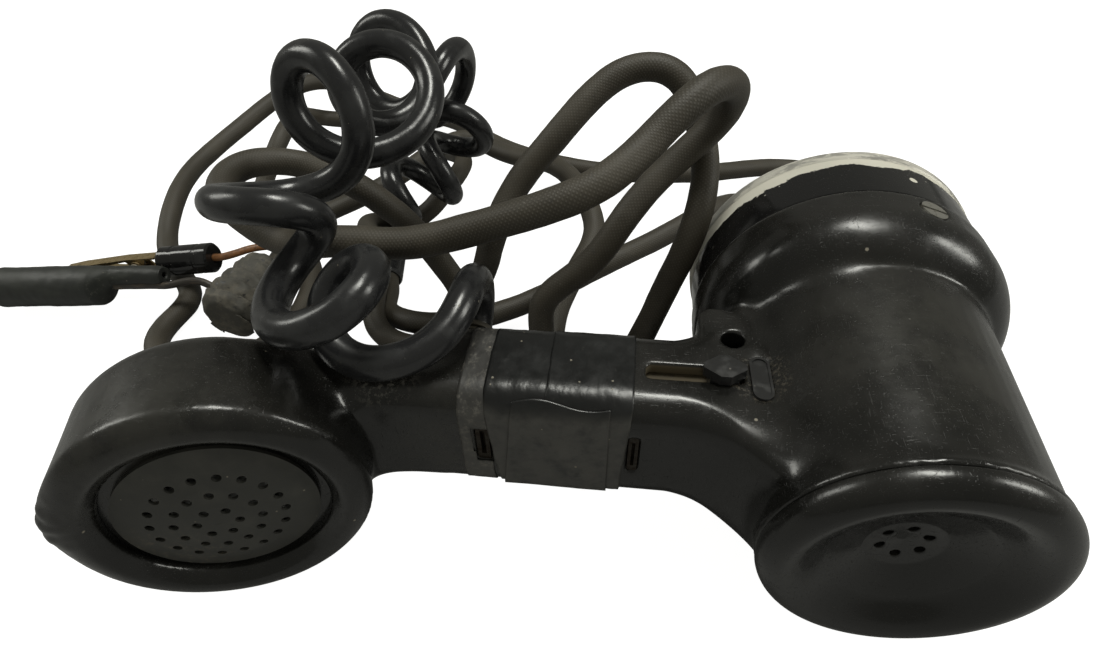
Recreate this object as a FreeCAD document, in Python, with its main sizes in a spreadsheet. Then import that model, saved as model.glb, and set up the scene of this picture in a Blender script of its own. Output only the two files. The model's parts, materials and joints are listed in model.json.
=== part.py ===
import FreeCAD, Part
import math
import os
import re

import Sketcher
from FreeCAD import Placement, Rotation, Vector

# Lineman's dial hand test set: a handset with a rotary dial behind the receiver, a retractile
# cord, a rubber cord and two test clips. Millimetres.
# Frame: the origin is on the receiver's axis where the ear cap meets the barrel. +Y runs from
# the ear cap to the dial, +X runs from the transmitter to the receiver, and +Z is sideways.

doc = FreeCAD.newDocument("hand_test_set")

# ---------------------------------------------------------------- driving dimensions
DIMENSIONS = {
    # receiver barrel and bell, along the receiver axis
    "lip_radius": 31.75,
    "lip_length": 1.8,
    "barrel_front_radius": 31.0,
    "barrel_rear_radius": 34.2,
    "barrel_length": 57.0,
    "bell_radius": 42.2,
    "bell_start": 70.5,
    "bell_length": 79.0,
    "bell_bore": 38.4,
    "spigot_radius": 28.6,
    "spigot_length": 3.6,
    "barrel_bore": 26.2,
    # grip
    "grip_front": 19.0,
    "grip_back": 48.0,
    "grip_half_width": 17.5,
    "grip_corner": 7.5,
    "grip_near": 50.0,
    "grip_far": 106.0,
    # transmitter cup, along its own tilted axis
    "cup_x": -152.3,
    "cup_y": -8.1,
    "cup_tilt": 21.0,
    "cup_radius": 34.4,
    "cup_back_radius": 33.9,
    "cup_rim": 3.8,
    "cup_depth": 31.2,
    "cup_bore": 24.4,
    "cup_mouth": 26.9,
    "cup_lip": 28.2,
    # dial
    "ring_radius": 41.6,
    "ring_end": 96.2,
    "bezel_radius": 42.0,
    "rim_face": 101.0,
    "wheel_radius": 35.4,
    "wheel_face": 98.6,
    "finger_hole_radius": 6.2,
    "finger_hole_pitch": 26.6,
    "shaft_radius": 2.4,
    "gear_module": 1.0,
    "gear_teeth": 30,
    "pinion_teeth": 10,
    # grids
    "grid_radius": 22.0,
    "grid_hole_radius": 1.05,
    "cap_hole_radius": 1.05,
    "cap_hole_pitch": 5.0,
    # talk switch
    "slot_start": -57.2,
    "slot_length": 22.8,
    "slot_width": 4.8,
    "slot_centre": 32.4,
    "slot_depth": 2.9,
    "knob_travel": 13.0,
    # cords
    "coil_cord_radius": 4.3,
    "rubber_cord_radius": 4.3,
    "lead_radius": 1.5,
    "running_gap": 0.05,
}

sheet = doc.addObject("Spreadsheet::Sheet", "dims")
for row, (alias, value) in enumerate(DIMENSIONS.items(), start=1):
    sheet.set(f"A{row}", alias)
    sheet.set(f"B{row}", str(value))
    sheet.setAlias(f"B{row}", alias)
doc.recompute()

X, Y, Z = Vector(1, 0, 0), Vector(0, 1, 0), Vector(0, 0, 1)
HERE = Placement()
ALONG_Y = Rotation(X, -90)  # turns a primitive's own Z onto +Y
ALONG_X = Rotation(Y, 90)  # turns a primitive's own Z onto +X
PRESS = 0.1  # gap left between parts that sit on each other
nodes = []


def link(expression):
    """Points each dimension's name in an expression at the sheet."""
    return re.sub(r"[a-z_]+", lambda m: "dims." + m[0] if m[0] in DIMENSIONS else m[0], expression)


def size(expression):
    """The number that a sheet expression, or a plain number, stands for."""
    if isinstance(expression, str):
        return float(sheet.evalExpression(expression))
    return float(expression)


def bind(obj, path, expression):
    """Ties a property or a constraint to the sheet, or sets it if it is a plain number."""
    if isinstance(expression, str):
        obj.setExpression(path, link(expression))
    elif not path.startswith("Constraints"):
        setattr(obj, path, expression)


def node(obj, label):
    """Names a finished sub-part; the label is also its file's name."""
    obj.Label = label
    nodes.append(obj)
    return obj


# ---------------------------------------------------------------- sketches and bodies
def new_body(label):
    return doc.addObject("PartDesign::Body", label + "_body")


def new_sketch(body, plane="XY_Plane", offset=HERE):
    sketch = body.newObject("Sketcher::SketchObject", "Sketch")
    origin = [o for o in body.Origin.OriginFeatures if o.Role == plane][0]
    sketch.AttachmentSupport = [(origin, "")]
    sketch.MapMode = "FlatFace"
    sketch.AttachmentOffset = offset
    return sketch


def arc_middle(start, end, radius, side):
    """The middle of the short arc from start to end; side +1 bulges to the left of the travel."""
    chord = end - start
    half = chord.Length / 2
    left = Vector(-chord.y, chord.x, 0).normalize()
    rise = radius - math.sqrt(max(radius**2 - half**2, 0.0))
    return (start + end) / 2 + left * (side * rise)


def outline(sketch, points):
    """A closed outline. Each point is (x, y), or (x, y, radius, side) for an arc from the last one."""
    corner = [Vector(size(p[0]), size(p[1]), 0) for p in points]
    first = sketch.GeometryCount
    for i, point in enumerate(points):
        start, end = corner[i - 1], corner[i]
        if len(point) == 4:
            middle = arc_middle(start, end, size(point[2]), point[3])
            first_end, last_end = (start, end) if point[3] < 0 else (end, start)
            sketch.addGeometry(Part.Arc(first_end, middle, last_end), False)
        else:
            sketch.addGeometry(Part.LineSegment(start, end), False)
    count = len(points)
    ends = []
    for i, point in enumerate(points):
        geometry = sketch.Geometry[first + i]
        ends.append(2 if geometry.EndPoint.isEqual(corner[i], 1e-6) else 1)
    for i, point in enumerate(points):
        following = first + (i + 1) % count
        opening = 3 - ends[(i + 1) % count]
        sketch.addConstraint(Sketcher.Constraint("Coincident", first + i, ends[i], following, opening))
        for kind, value in (("DistanceX", point[0]), ("DistanceY", point[1])):
            here = Sketcher.Constraint(kind, first + i, ends[i], size(value))
            index = sketch.addConstraint(here)
            bind(sketch, f"Constraints[{index}]", value)
        if len(point) == 4:
            index = sketch.addConstraint(Sketcher.Constraint("Radius", first + i, size(point[2])))
            bind(sketch, f"Constraints[{index}]", point[2])
    return sketch


def rounded_box(sketch, low, high, low_z, high_z, corner):
    """A rounded rectangle between two edges in each direction."""
    reach = f"({corner})"
    return outline(
        sketch,
        [
            (f"{high} - {reach}", low_z),
            (high, f"{low_z} + {reach}", corner, -1),
            (high, f"{high_z} - {reach}"),
            (f"{high} - {reach}", high_z, corner, -1),
            (f"{low} + {reach}", high_z),
            (low, f"{high_z} - {reach}", corner, -1),
            (low, f"{low_z} + {reach}"),
            (f"{low} + {reach}", low_z, corner, -1),
        ],
    )


def stadium(sketch, x, y, radius, straight):
    """A slot-shaped outline along the sketch's own y axis."""
    low, high = y - straight, y + straight
    return outline(
        sketch,
        [
            (x + radius, high),
            (x, high + radius, radius, -1),
            (x - radius, high, radius, -1),
            (x - radius, low),
            (x, low - radius, radius, -1),
            (x + radius, low, radius, -1),
        ],
    )


def spin(body, sketch, kind="Revolution"):
    feature = body.newObject("PartDesign::" + kind, kind)
    feature.Profile = sketch
    feature.ReferenceAxis = (sketch, ["V_Axis"])
    feature.Angle = 360
    return feature


def push(body, sketch, length, kind="Pad", midplane=False, reverse=False):
    feature = body.newObject("PartDesign::" + kind, kind)
    feature.Profile = sketch
    feature.Midplane = midplane
    feature.Reversed = reverse
    bind(feature, "Length", length)
    return feature


def bite(body, kind, place, **sizes):
    """Cuts a box or a cylinder out of a body."""
    feature = body.newObject("PartDesign::Subtractive" + kind, kind)
    for name, value in sizes.items():
        bind(feature, name, value)
    feature.Placement = place
    return feature


def turned(label, points, place=HERE):
    """A body turned about its own Y axis from an outline of (radius, height) points."""
    body = new_body(label)
    spin(body, outline(new_sketch(body), points))
    body.Placement = place
    return node(body, label)


# ---------------------------------------------------------------- primitives and booleans
def primitive(kind, place, **sizes):
    obj = doc.addObject("Part::" + kind, kind)
    for name, value in sizes.items():
        bind(obj, name, value)
    obj.Placement = place
    return obj


def box(low, high):
    low, high = Vector(*low), Vector(*high)
    span = high - low
    return primitive("Box", Placement(low, Rotation()), Length=span.x, Width=span.y, Height=span.z)


def rod(start, end, radius):
    start, end = Vector(*start), Vector(*end)
    turn = Rotation(Z, end - start)
    return primitive("Cylinder", Placement(start, turn), Radius=radius, Height=(end - start).Length)


def joined(*parts):
    obj = doc.addObject("Part::MultiFuse", "Fusion")
    obj.Shapes = list(parts)
    return obj


def less(base, *tools):
    obj = doc.addObject("Part::Cut", "Cut")
    obj.Base = base
    obj.Tool = tools[0] if len(tools) == 1 else joined(*tools)
    return obj


def group(*parts):
    obj = doc.addObject("Part::Compound", "Group")
    obj.Links = list(parts)
    return obj


def shaped(label, shape, place=HERE):
    """A sub-part whose shape is worked out by Part's own functions."""
    obj = doc.addObject("Part::Feature", label)
    obj.Shape = shape
    obj.Placement = place
    return node(obj, label)

# ---------------------------------------------------------------- handset shell
CUP = Placement(
    Vector(size("cup_x"), size("cup_y"), 0),
    Rotation(Z, size("cup_tilt")),
)


def on_cup(depth, across=0.0, side=0.0):
    """A point in the cup's own axes: depth along its axis, across towards the grip."""
    return CUP.multVec(Vector(across, depth, side))


def radial(angle, radius, height):
    """A point round the receiver axis; the angle runs from +X to +Z."""
    turn = math.radians(angle)
    return Vector(radius * math.cos(turn), height, radius * math.sin(turn))


SCREW_ANGLES = (72, 192, 312)
SCREW_HEIGHT = 73.6


def make_shell():
    body = new_body("handle_shell")
    spin(
        body,
        outline(
            new_sketch(body),
            [
                (0, "-spigot_length"),
                ("spigot_radius", "-spigot_length"),
                ("spigot_radius", 0),
                ("lip_radius - 0.3", 0),
                ("lip_radius", 0.3),
                ("lip_radius", "lip_length - 0.3"),
                ("barrel_front_radius", "lip_length + 0.6"),
                ("barrel_rear_radius", "barrel_length"),
                ("bell_radius", "bell_start", 15.0, -1),
                ("bell_radius", "bell_length - 0.8"),
                ("bell_radius - 0.8", "bell_length", 0.82, -1),
                (0, "bell_length"),
            ],
        ),
    )
    # transmitter cup, turned about its own axis
    tilted = new_sketch(body, offset=CUP)
    spin(
        body,
        outline(
            tilted,
            [
                (0, 0),
                ("cup_lip", 0),
                ("cup_radius", "cup_rim", 7.0, -1),
                ("cup_back_radius", 23.5),
                (27.0, "cup_depth - 0.4", 8.6, -1),
                (0, "cup_depth"),
            ],
        ),
    )
    # grip: rounded rectangles along X, flaring into the cup and into the barrel
    sections = (
        (-150, 6.0, 27.0, 29.0, 5.0),
        (-142, 9.5, 30.0, 25.0, 6.0),
        (-134, 13.5, 33.6, 21.0, 7.0),
        (-126, 16.8, 38.4, 18.6, 7.4),
        (-116, 18.6, 44.4, 17.7, 7.5),
        (-106, 19.0, 48.0, 17.5, 7.5),
    )
    loft_through(body, sections)
    loft_through(body, ((-106, 19.0, 48.0, 17.5, 7.5), (-50, 19.0, 48.0, 17.5, 7.5)), ruled=True)
    loft_through(
        body,
        (
            (-50, 19.0, 48.0, 17.5, 7.5),
            (-44, 17.6, 50.5, 17.5, 7.2),
            (-36, 12.5, 55.0, 17.6, 6.0),
            (-28, 4.6, 57.5, 18.4, 5.0),
            (-20, 3.4, 58.0, 21.0, 5.0),
        ),
    )
    shoulder = rounded_box(new_sketch(body), -44.0, -22.0, 40.0, 57.4, 4.5)
    push(body, shoulder, 34.6, midplane=True)
    # the hollow inside
    spin(
        body,
        outline(
            new_sketch(body),
            [
                (0, "-spigot_length - 1"),
                ("barrel_bore", "-spigot_length - 1"),
                ("barrel_bore", "barrel_length"),
                ("bell_bore - 2", "barrel_length + 9"),
                ("bell_bore", "barrel_length + 9"),
                ("bell_bore", "bell_length + 1"),
                (0, "bell_length + 1"),
            ],
        ),
        "Groove",
    )
    spin(
        body,
        outline(
            new_sketch(body, offset=CUP),
            [
                (0, -1),
                ("cup_lip - 0.4", -1),
                ("cup_lip - 0.4", 0),
                ("cup_mouth", 0.5),
                ("cup_bore", 2.9),
                ("cup_bore", 26.0),
                (0, 26.0),
            ],
        ),
        "Groove",
    )
    # wire channel, cord entry, switch well, hanging hole, lug slots and screw holes
    bite(body, "Cylinder", Placement(Vector(-114, 35, 0), ALONG_X), Radius=5.0, Height=92.0)
    slant = Rotation(Z, Vector(27, 17, 0))
    bite(body, "Cylinder", Placement(Vector(-137.5, 19, 0), slant), Radius=4.2, Height=29.0)
    bite(body, "Cylinder", Placement(Vector(-104, 34, 7), ALONG_Y), Radius=6.6, Height=20.0)
    slot = "slot_centre - slot_width / 2"
    bite(body, "Box", Placement(Vector(-57.2, 30.0, 8), Rotation()), Length="slot_length", Width="slot_width", Height=12.0)
    bite(body, "Box", Placement(Vector(-60, 28.2, -7), Rotation()), Length=28.0, Width=8.8, Height=20.8)
    bite(body, "Cylinder", Placement(Vector(-35.7, 45.4, -25), Rotation()), Radius=2.9, Height=50.0)
    bite(body, "Box", Placement(Vector(-98, 15, -5.5), Rotation()), Length=3.6, Width=10.5, Height=13.0)
    bite(body, "Box", Placement(Vector(-60.5, 15, -5.5), Rotation()), Length=2.7, Width=10.5, Height=13.0)
    legend = new_sketch(body, offset=Placement(Vector(0, 0, 17.3), Rotation()))
    stadium(legend, -30.4, 31.7, 2.5, 4.5)
    push(body, legend, 8.0, "Pocket", reverse=True)
    for angle in SCREW_ANGLES:
        aim = Rotation(Z, radial(angle, 1, 0))
        bite(body, "Cylinder", Placement(radial(angle, 36, SCREW_HEIGHT), aim), Radius=2.0, Height=8.0)
        bite(body, "Cylinder", Placement(radial(angle, 40.4, SCREW_HEIGHT), aim), Radius=3.65, Height=4.0)
    return node(body, "handle_shell")


def loft_through(body, sections, ruled=False):
    """Adds a loft through rounded rectangles given as (x, front, back, half width, corner)."""
    rings = []
    for x, front, back, half, corner in sections:
        ring = new_sketch(body, "YZ_Plane", Placement(Vector(0, 0, x), Rotation()))
        rounded_box(ring, front, back, -half, half, corner)
        rings.append(ring)
    loft = body.newObject("PartDesign::AdditiveLoft", "Grip")
    loft.Profile = rings[0]
    loft.Sections = rings[1:]
    loft.Ruled = ruled
    return loft


make_shell()
doc.recompute()

# ---------------------------------------------------------------- receiver
cap = turned(
    "ear_cap_blank",
    [
        (0, 3.4),
        (8.6, 2.3),
        (21.0, -3.0),
        (26.5, -6.2, 6.4, -1),
        ("lip_radius", -1.2, 5.3, -1),
        ("lip_radius", -0.35),
        ("lip_radius - 0.3", "-running_gap"),
        ("spigot_radius + 0.1", "-running_gap"),
        ("spigot_radius + 0.1", "-spigot_length - 0.15"),
        (25.9, "-spigot_length - 0.15"),
        (24.8, -1.2),
        (21.0, -0.8),
        (8.6, 4.2),
        (0, 4.9),
    ],
)
nodes.remove(cap)
holes = []
for step in range(6):
    x, z = (size("cap_hole_pitch") * f(math.radians(60 * step + 26)) for f in (math.cos, math.sin))
    holes.append(rod((x, -4, z), (x, 8, z), "cap_hole_radius"))
node(less(cap, *holes), "ear_cap")

turned(
    "receiver_clamp_ring",
    [(22.5, 3.0), (26.1, 3.0), (26.1, 5.2), (22.5, 5.2)],
)
turned("receiver_diaphragm", [(0, 5.0), (9, 5.3), (26.0, 5.3), (26.0, 5.6), (9, 5.6), (0, 5.3)])
turned(
    "receiver_frame",
    [(23.5, 5.7), (26.1, 5.7), (26.1, 22.0), (0, 22.0), (0, 20.0), (23.5, 20.0)],
)
node(
    joined(
        rod((0, 15, 0), (0, 19.9, 0), 19.0),
        rod((-6.5, 7, 0), (-6.5, 15.5, 0), 3.0),
        rod((6.5, 7, 0), (6.5, 15.5, 0), 3.0),
    ),
    "receiver_magnet",
)
node(
    group(
        less(rod((-6.5, 8, 0), (-6.5, 14.8, 0), 5.9), rod((-6.5, 7, 0), (-6.5, 16, 0), 3.1)),
        less(rod((6.5, 8, 0), (6.5, 14.8, 0), 5.9), rod((6.5, 7, 0), (6.5, 16, 0), 3.1)),
    ),
    "receiver_coils",
)
node(
    joined(box((-15, 28, -7), (15, 42, 7)), rod((-15, 35, 0), (-17.5, 35, 0), 1.4)),
    "line_capacitor",
)

# ---------------------------------------------------------------- dial housing and rim
ring = turned(
    "ring_blank",
    [
        (36.4, 66.6),
        ("bell_bore - 0.1", 66.6),
        ("bell_bore - 0.1", "bell_length + 0.1"),
        ("ring_radius - 0.5", "bell_length + 0.1"),
        ("ring_radius", "bell_length + 0.6"),
        ("ring_radius", "ring_end"),
        (36.4, "ring_end"),
        (36.4, 84.0),
        (30.0, 84.0),
        (30.0, 82.0),
        (36.4, 82.0),
    ],
)
nodes.remove(ring)
bores = [
    rod(radial(a, 34, SCREW_HEIGHT), radial(a, 45, SCREW_HEIGHT), 2.05) for a in SCREW_ANGLES
]
node(less(ring, *bores), "dial_housing_ring")
screws = []
for angle in SCREW_ANGLES:
    head = rod(radial(angle, 40.5, SCREW_HEIGHT), radial(angle, 42.1, SCREW_HEIGHT), 3.55)
    shank = rod(radial(angle, 36.6, SCREW_HEIGHT), radial(angle, 40.6, SCREW_HEIGHT), 1.9)
    cut = primitive(
        "Box",
        Placement(radial(angle, 41.3, SCREW_HEIGHT), Rotation(Z, radial(angle, 1, 0)))
        * Placement(Vector(-4, -0.45, 0), Rotation()),
        Length=8.0,
        Width=0.9,
        Height=2.0,
    )
    screws.append(less(joined(head, shank), cut))
node(group(*screws), "bell_screws")

rim = turned(
    "rim_blank",
    [
        (35.9, "ring_end + 0.1"),
        ("bezel_radius - 0.4", "ring_end + 0.1"),
        ("bezel_radius", "ring_end + 0.5"),
        ("bezel_radius", "rim_face - 1.8"),
        ("bezel_radius - 1.8", "rim_face", 1.82, -1),
        (37.2, "rim_face"),
        (35.9, "rim_face - 1.2"),
    ],
)
nodes.remove(rim)
STOP_ANGLE = -40
stop_turn = Rotation(Y, -STOP_ANGLE)
notch = primitive(
    "Box", Placement(stop_turn.multVec(Vector(20, 98.9, -1.7)), stop_turn), Length=17.2, Width=4.0, Height=3.4
)
node(less(rim, notch), "dial_bezel")
node(
    primitive(
        "Box", Placement(stop_turn.multVec(Vector(23, 99.0, -1.6)), stop_turn), Length=14.1, Width=1.0, Height=3.2
    ),
    "finger_stop",
)
turned("number_plate", [(8.0, 94.2), (36.3, 94.2), (36.3, 95.2), (8.0, 95.2)])

# ---------------------------------------------------------------- dial works
GOVERNOR = Vector(20.3 * math.cos(math.radians(150)), 0, 20.3 * math.sin(math.radians(150)))


def make_base():
    body = new_body("dial_base")
    spin(
        body,
        outline(
            new_sketch(body),
            [
                ("shaft_radius + running_gap", 80.6),
                (4.4, 80.6),
                (4.4, 84.1),
                (36.3, 84.1),
                (36.3, 85.6),
                (4.4, 85.6),
                (4.4, 90.8),
                ("shaft_radius + running_gap", 90.8),
            ],
        ),
    )
    spot = Vector(GOVERNOR.x, 80, GOVERNOR.z)
    bite(body, "Cylinder", Placement(spot, ALONG_Y), Radius="1.0 + running_gap", Height=10.0)
    return node(body, "dial_base")


def involute_tooth(teeth, module, outer, base_fraction, play):
    """Flank points of one tooth about +X, from the root circle to the outer circle."""
    pitch = teeth * module / 2
    base = pitch * math.cos(math.radians(20))
    half = (math.pi / 2 - play) / teeth
    pressure = math.tan(math.radians(20)) - math.radians(20)
    points = []
    start = max(base, base_fraction)
    for i in range(4):
        r = start + (outer - start) * i / 3
        angle = math.acos(min(base / r, 1.0))
        points.append((r, half + pressure - (math.tan(angle) - angle)))
    return points


def gear(body, teeth, low, thick, bore, play):
    module = size("gear_module")
    pitch = teeth * module / 2
    root, outer = pitch - 1.15 * module, pitch + 0.8 * module
    disc = new_sketch(body, "XZ_Plane", Placement(Vector(0, 0, -low), Rotation()))
    disc.addGeometry(Part.Circle(Vector(0, 0, 0), Z, root), False)
    disc.addConstraint(Sketcher.Constraint("Coincident", 0, 3, -1, 1))
    index = disc.addConstraint(Sketcher.Constraint("Radius", 0, root))
    disc.setExpression(f"Constraints[{index}]", link(f"gear_module * ({teeth} / 2 - 1.15)"))
    push(body, disc, thick, reverse=True)
    flank = involute_tooth(teeth, module, outer, root, play)
    half_root = flank[0][1]
    corners = [(root - 0.4, -half_root * 1.05)]
    corners += [(r, -a) for r, a in flank]
    corners += [(r, a) for r, a in reversed(flank)]
    corners += [(root - 0.4, half_root * 1.05)]
    tooth = new_sketch(body, "XZ_Plane", Placement(Vector(0, 0, -low), Rotation()))
    outline(tooth, [(r * math.cos(a), r * math.sin(a)) for r, a in corners])
    pad = push(body, tooth, thick, reverse=True)
    pattern = body.newObject("PartDesign::PolarPattern", "Teeth")
    pattern.Originals = [pad]
    pattern.Axis = (disc, ["N_Axis"])
    pattern.Angle = 360
    pattern.Occurrences = int(teeth)
    body.Tip = pattern
    if bore:
        bite(body, "Cylinder", Placement(Vector(0, low - 1, 0), ALONG_Y), Radius=bore, Height=thick + 2)
    return body


make_base()
turned(
    "main_shaft",
    [
        (0, 80.2),
        ("shaft_radius", 80.2),
        ("shaft_radius", 95.5),
        (6.0, 95.5),
        (6.0, 97.3),
        ("shaft_radius", 97.3),
        ("shaft_radius", 98.62),
        (0, 98.62),
    ],
)
doc.recompute()
node(gear(new_body("main_gear"), size("gear_teeth"), 91.4, 2.0, size("shaft_radius") + 0.02, 0.28), "main_gear")
pinion = gear(new_body("pinion"), size("pinion_teeth"), 91.2, 2.4, 0, 0.28)
pinion.Placement = Placement(GOVERNOR, Rotation(Y, -6))  # a tooth faces the wheel's gap


def at_governor(low, high, radius):
    low, high = GOVERNOR + Vector(0, low, 0), GOVERNOR + Vector(0, high, 0)
    return rod(tuple(low), tuple(high), radius)


node(joined(pinion, at_governor(84.3, 91.5, 1.0)), "governor_spindle")
arm = primitive("Box", Placement(GOVERNOR + Vector(-5.4, 87.2, -1.4), Rotation()), Length=10.8, Width=1.6, Height=2.8)
node(less(arm, at_governor(86, 90, 1.02)), "governor_weights")
node(
    less(at_governor(85.7, 90.2, 8.2), at_governor(86.3, 91, 6.8), at_governor(85, 87, 2.0)),
    "governor_cup",
)


# ---------------------------------------------------------------- tubes along curves
def tube(points, radius):
    """A round cord or wire: rings square to its path, skinned a dozen at a time."""
    path = Part.BSplineCurve()
    path.interpolate([Vector(*p) for p in points])
    length = path.length()
    count = round(length / min(4.0, 3 * radius))
    upright = abs(path.tangent(path.FirstParameter)[0].z) > 0.9
    side, rings = (X if upright else Z), []
    for i in range(count + 1):
        along = path.parameterAtDistance(length * i / count)
        aim = path.tangent(along)[0]
        side = (side - aim * side.dot(aim)).normalize()
        ring = Part.Wire(Part.Circle(Vector(), Z, radius).toShape())
        ring.Placement = Placement(path.value(along), Rotation(side, aim.cross(side), aim, "ZXY"))
        rings.append(ring)
    stretches = max(1, round(count / 12))
    marks = [round(count * k / stretches) for k in range(stretches + 1)]
    skins = [Part.Face(rings[0]), Part.Face(rings[-1])]
    for first, last in zip(marks, marks[1:]):
        skins += Part.makeLoft(rings[first : last + 1], False, False).Faces
    shell = Part.makeShell(skins)
    shell.sewShape()
    solid = Part.makeSolid(shell)
    if solid.Volume < 0:
        solid.reverse()
    return solid


def helix_points(low, high, radius, turns, steps=10):
    count = int(turns * steps)
    return [
        (
            radius * math.cos(2 * math.pi * i / steps),
            low + (high - low) * i / count,
            radius * math.sin(2 * math.pi * i / steps),
        )
        for i in range(count + 1)
    ]


shaped("return_spring", tube(helix_points(86.3, 90.3, 6.4, 4), 0.35))
blades = [box((9 + 2.2 * i, 85.7, -9), (9.5 + 2.2 * i, 90.4, 6)) for i in range(3)]
stack = less(
    box((8.2, 85.7, -14), (15.2, 90.0, -9.5)),
    rod((11.7, 85, -11.8), (11.7, 91, -11.8), 0.9),
)
feet = [box((9 + 2.2 * i, 86.2, -9.6), (9.5 + 2.2 * i, 90.0, -8.9)) for i in range(3)]
node(joined(stack, *blades, *feet), "pulse_springs")


# ---------------------------------------------------------------- finger wheel
wheel = turned(
    "wheel_blank",
    [
        ("shaft_radius + 0.02", 97.4),
        (34.2, 97.4),
        ("wheel_radius", 97.0),
        ("wheel_radius", "wheel_face - 0.4"),
        ("wheel_radius - 0.4", "wheel_face"),
        ("shaft_radius + 0.02", "wheel_face"),
    ],
)
nodes.remove(wheel)
HOLE_ANGLES = [15 + 30 * i for i in range(10)]
finger_holes = [
    rod(tuple(radial(a, size("finger_hole_pitch"), 96)), tuple(radial(a, size("finger_hole_pitch"), 100)), "finger_hole_radius")
    for a in HOLE_ANGLES
]
node(less(wheel, *finger_holes), "finger_wheel")
turned("number_card", [(0, 98.7), (10.4, 98.7), (10.4, 98.95), (0, 98.95)])
turned(
    "card_window_ring",
    [(10.5, "wheel_face"), (13.2, "wheel_face"), (12.6, 99.4), (11.2, 99.9), (9.8, 99.9), (9.8, 99.0), (10.5, 99.0)],
)

# ---------------------------------------------------------------- transmitter, in the cup's axes
plate = turned(
    "grid_blank",
    [(r, 3.5 * (r / 22) ** 2 - 0.2) for r in (0, 5.5, 11.0, 16.5, 22.0)]
    + [(r, 3.5 * (r / 22) ** 2 + 0.7) for r in (22.0, 16.5, 11.0, 5.5, 0)],
    CUP,
)
nodes.remove(plate)
piercing = []
for count, pitch in ((18, 14.4), (12, 9.4), (6, 4.5)):
    for i in range(count):
        turn = 2 * math.pi * i / count - math.radians(6.4)
        spot = on_cup(-2, pitch * math.cos(turn), pitch * math.sin(turn))
        piercing.append(
            primitive(
                "Cylinder",
                Placement(spot, CUP.Rotation * ALONG_Y),
                Radius="grid_hole_radius",
                Height=9.0,
            )
        )
node(less(plate, *piercing), "transmitter_grid")
turned(
    "transmitter_gasket",
    [
        (20.6, 4.35),
        ("grid_radius + 0.1", 4.35),
        ("grid_radius + 0.1", 4.9),
        (24.3, 4.9),
        (24.3, 5.4),
        (20.6, 5.4),
    ],
    CUP,
)
turned(
    "transmitter_capsule",
    [(0, 5.6), (21.0, 5.6), (23.8, 7.0), (23.8, 14.5), (17.0, 18.5), (9.0, 19.5), (0, 19.5)],
    CUP,
)
leaf = [
    primitive("Box", CUP * Placement(Vector(-12, 19.7 if i else 20.6, -4 + 5.5 * i), Rotation()), Length=18.0, Width=0.6, Height=3.0)
    for i in range(2)
]
leaf.append(primitive("Box", CUP * Placement(Vector(-13.5, 19.7, -5), Rotation()), Length=4.0, Width=5.6, Height=10.0))
node(joined(*leaf), "transmitter_springs")

def wires():
    made = []
    for side in (-1.6, 1.6):
        points = [
            tuple(on_cup(24.2, 12.0, side * 2.2)),
            tuple(on_cup(22.6, 18.0, side * 1.3)),
            (-128.0, 24.0, side),
            (-114.0, 33.0, side),
            (-96.0, 34.6, side - 1.0),
            (-70.0, 33.6, side - 1.0),
            (-46.0, 33.8, side - 1.0),
            (-26.0, 35.0, side),
            (-19.5, 35.0, side * 2),
        ]
        made.append(tube(points, 0.8))
    return Part.makeCompound(made)


shaped("internal_wires", wires())

# ---------------------------------------------------------------- talk switch and grip parts
def make_knob():
    body = new_body("talk_switch")
    stem = new_sketch(body, offset=Placement(Vector(0, 0, 14.0), Rotation()))
    low = "slot_centre - slot_width / 2 + running_gap"
    high = "slot_centre + slot_width / 2 - running_gap"
    outline(stem, [(-35.6, low), (-35.6, high), (-42.4, high), (-42.4, low)])
    push(body, stem, 4.8)
    top = new_sketch(body, offset=Placement(Vector(0, 0, 17.9), Rotation()))
    outline(
        top,
        [
            (-34.0, 33.2),
            (-37.8, 36.0),
            (-40.2, 36.0),
            (-44.0, 33.2),
            (-44.0, 31.6),
            (-40.2, 28.8),
            (-37.8, 28.8),
            (-34.0, 31.6),
        ],
    )
    push(body, top, 2.8)
    return node(body, "talk_switch")


make_knob()
node(
    primitive("Box", Placement(Vector(-59.7, 28.5, 12.7), Rotation()), Length=27.4, Width=8.2, Height=1.0),
    "switch_contact_plate",
)
node(
    joined(
        box((-58, 29.0, 9.4), (-36, 31.0, 9.9)),
        box((-58, 33.5, 11.2), (-36, 35.6, 11.7)),
        box((-59, 28.6, 6.4), (-53, 36.2, 11.9)),
    ),
    "switch_contact_springs",
)


def make_legend():
    body = new_body("legend_plate")
    base = new_sketch(body, offset=Placement(Vector(0, 0, 17.35), Rotation()))
    stadium(base, -30.4, 31.7, 2.4, 4.5)
    push(body, base, 1.0)
    rim = new_sketch(body, offset=Placement(Vector(0, 0, 18.35), Rotation()))
    stadium(rim, -30.4, 31.7, 1.8, 4.4)
    push(body, rim, 0.35, "Pocket")
    return node(body, "legend_plate")


make_legend()


def band(label, start, length, gap, thick):
    """A sleeve of tape round the grip."""
    body = new_body(label)
    for kind, inset in (("Pad", gap + thick), ("Pocket", gap)):
        ring = new_sketch(body, "YZ_Plane", Placement(Vector(0, 0, start), Rotation()))
        rounded_box(
            ring,
            f"grip_front - {inset}",
            f"grip_back + {inset}",
            f"-grip_half_width - {inset}",
            f"grip_half_width + {inset}",
            f"grip_corner + {inset}",
        )
        push(body, ring, length, kind, reverse=(kind == "Pocket"))
    return node(body, label)


sleeve = band("grip_tape_main", -93.8, 32.6, 0.1, 0.6)
strip = band("tape_strip", -101.6, 7.6, 0.1, 0.35)
nodes.remove(strip)
node(
    less(strip, box((-98.4, 15, -6), (-93, 25, 8)), rod((-104, 40, 7), (-104, 60, 7), 6.8)),
    "grip_tape_band",
)


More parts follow.
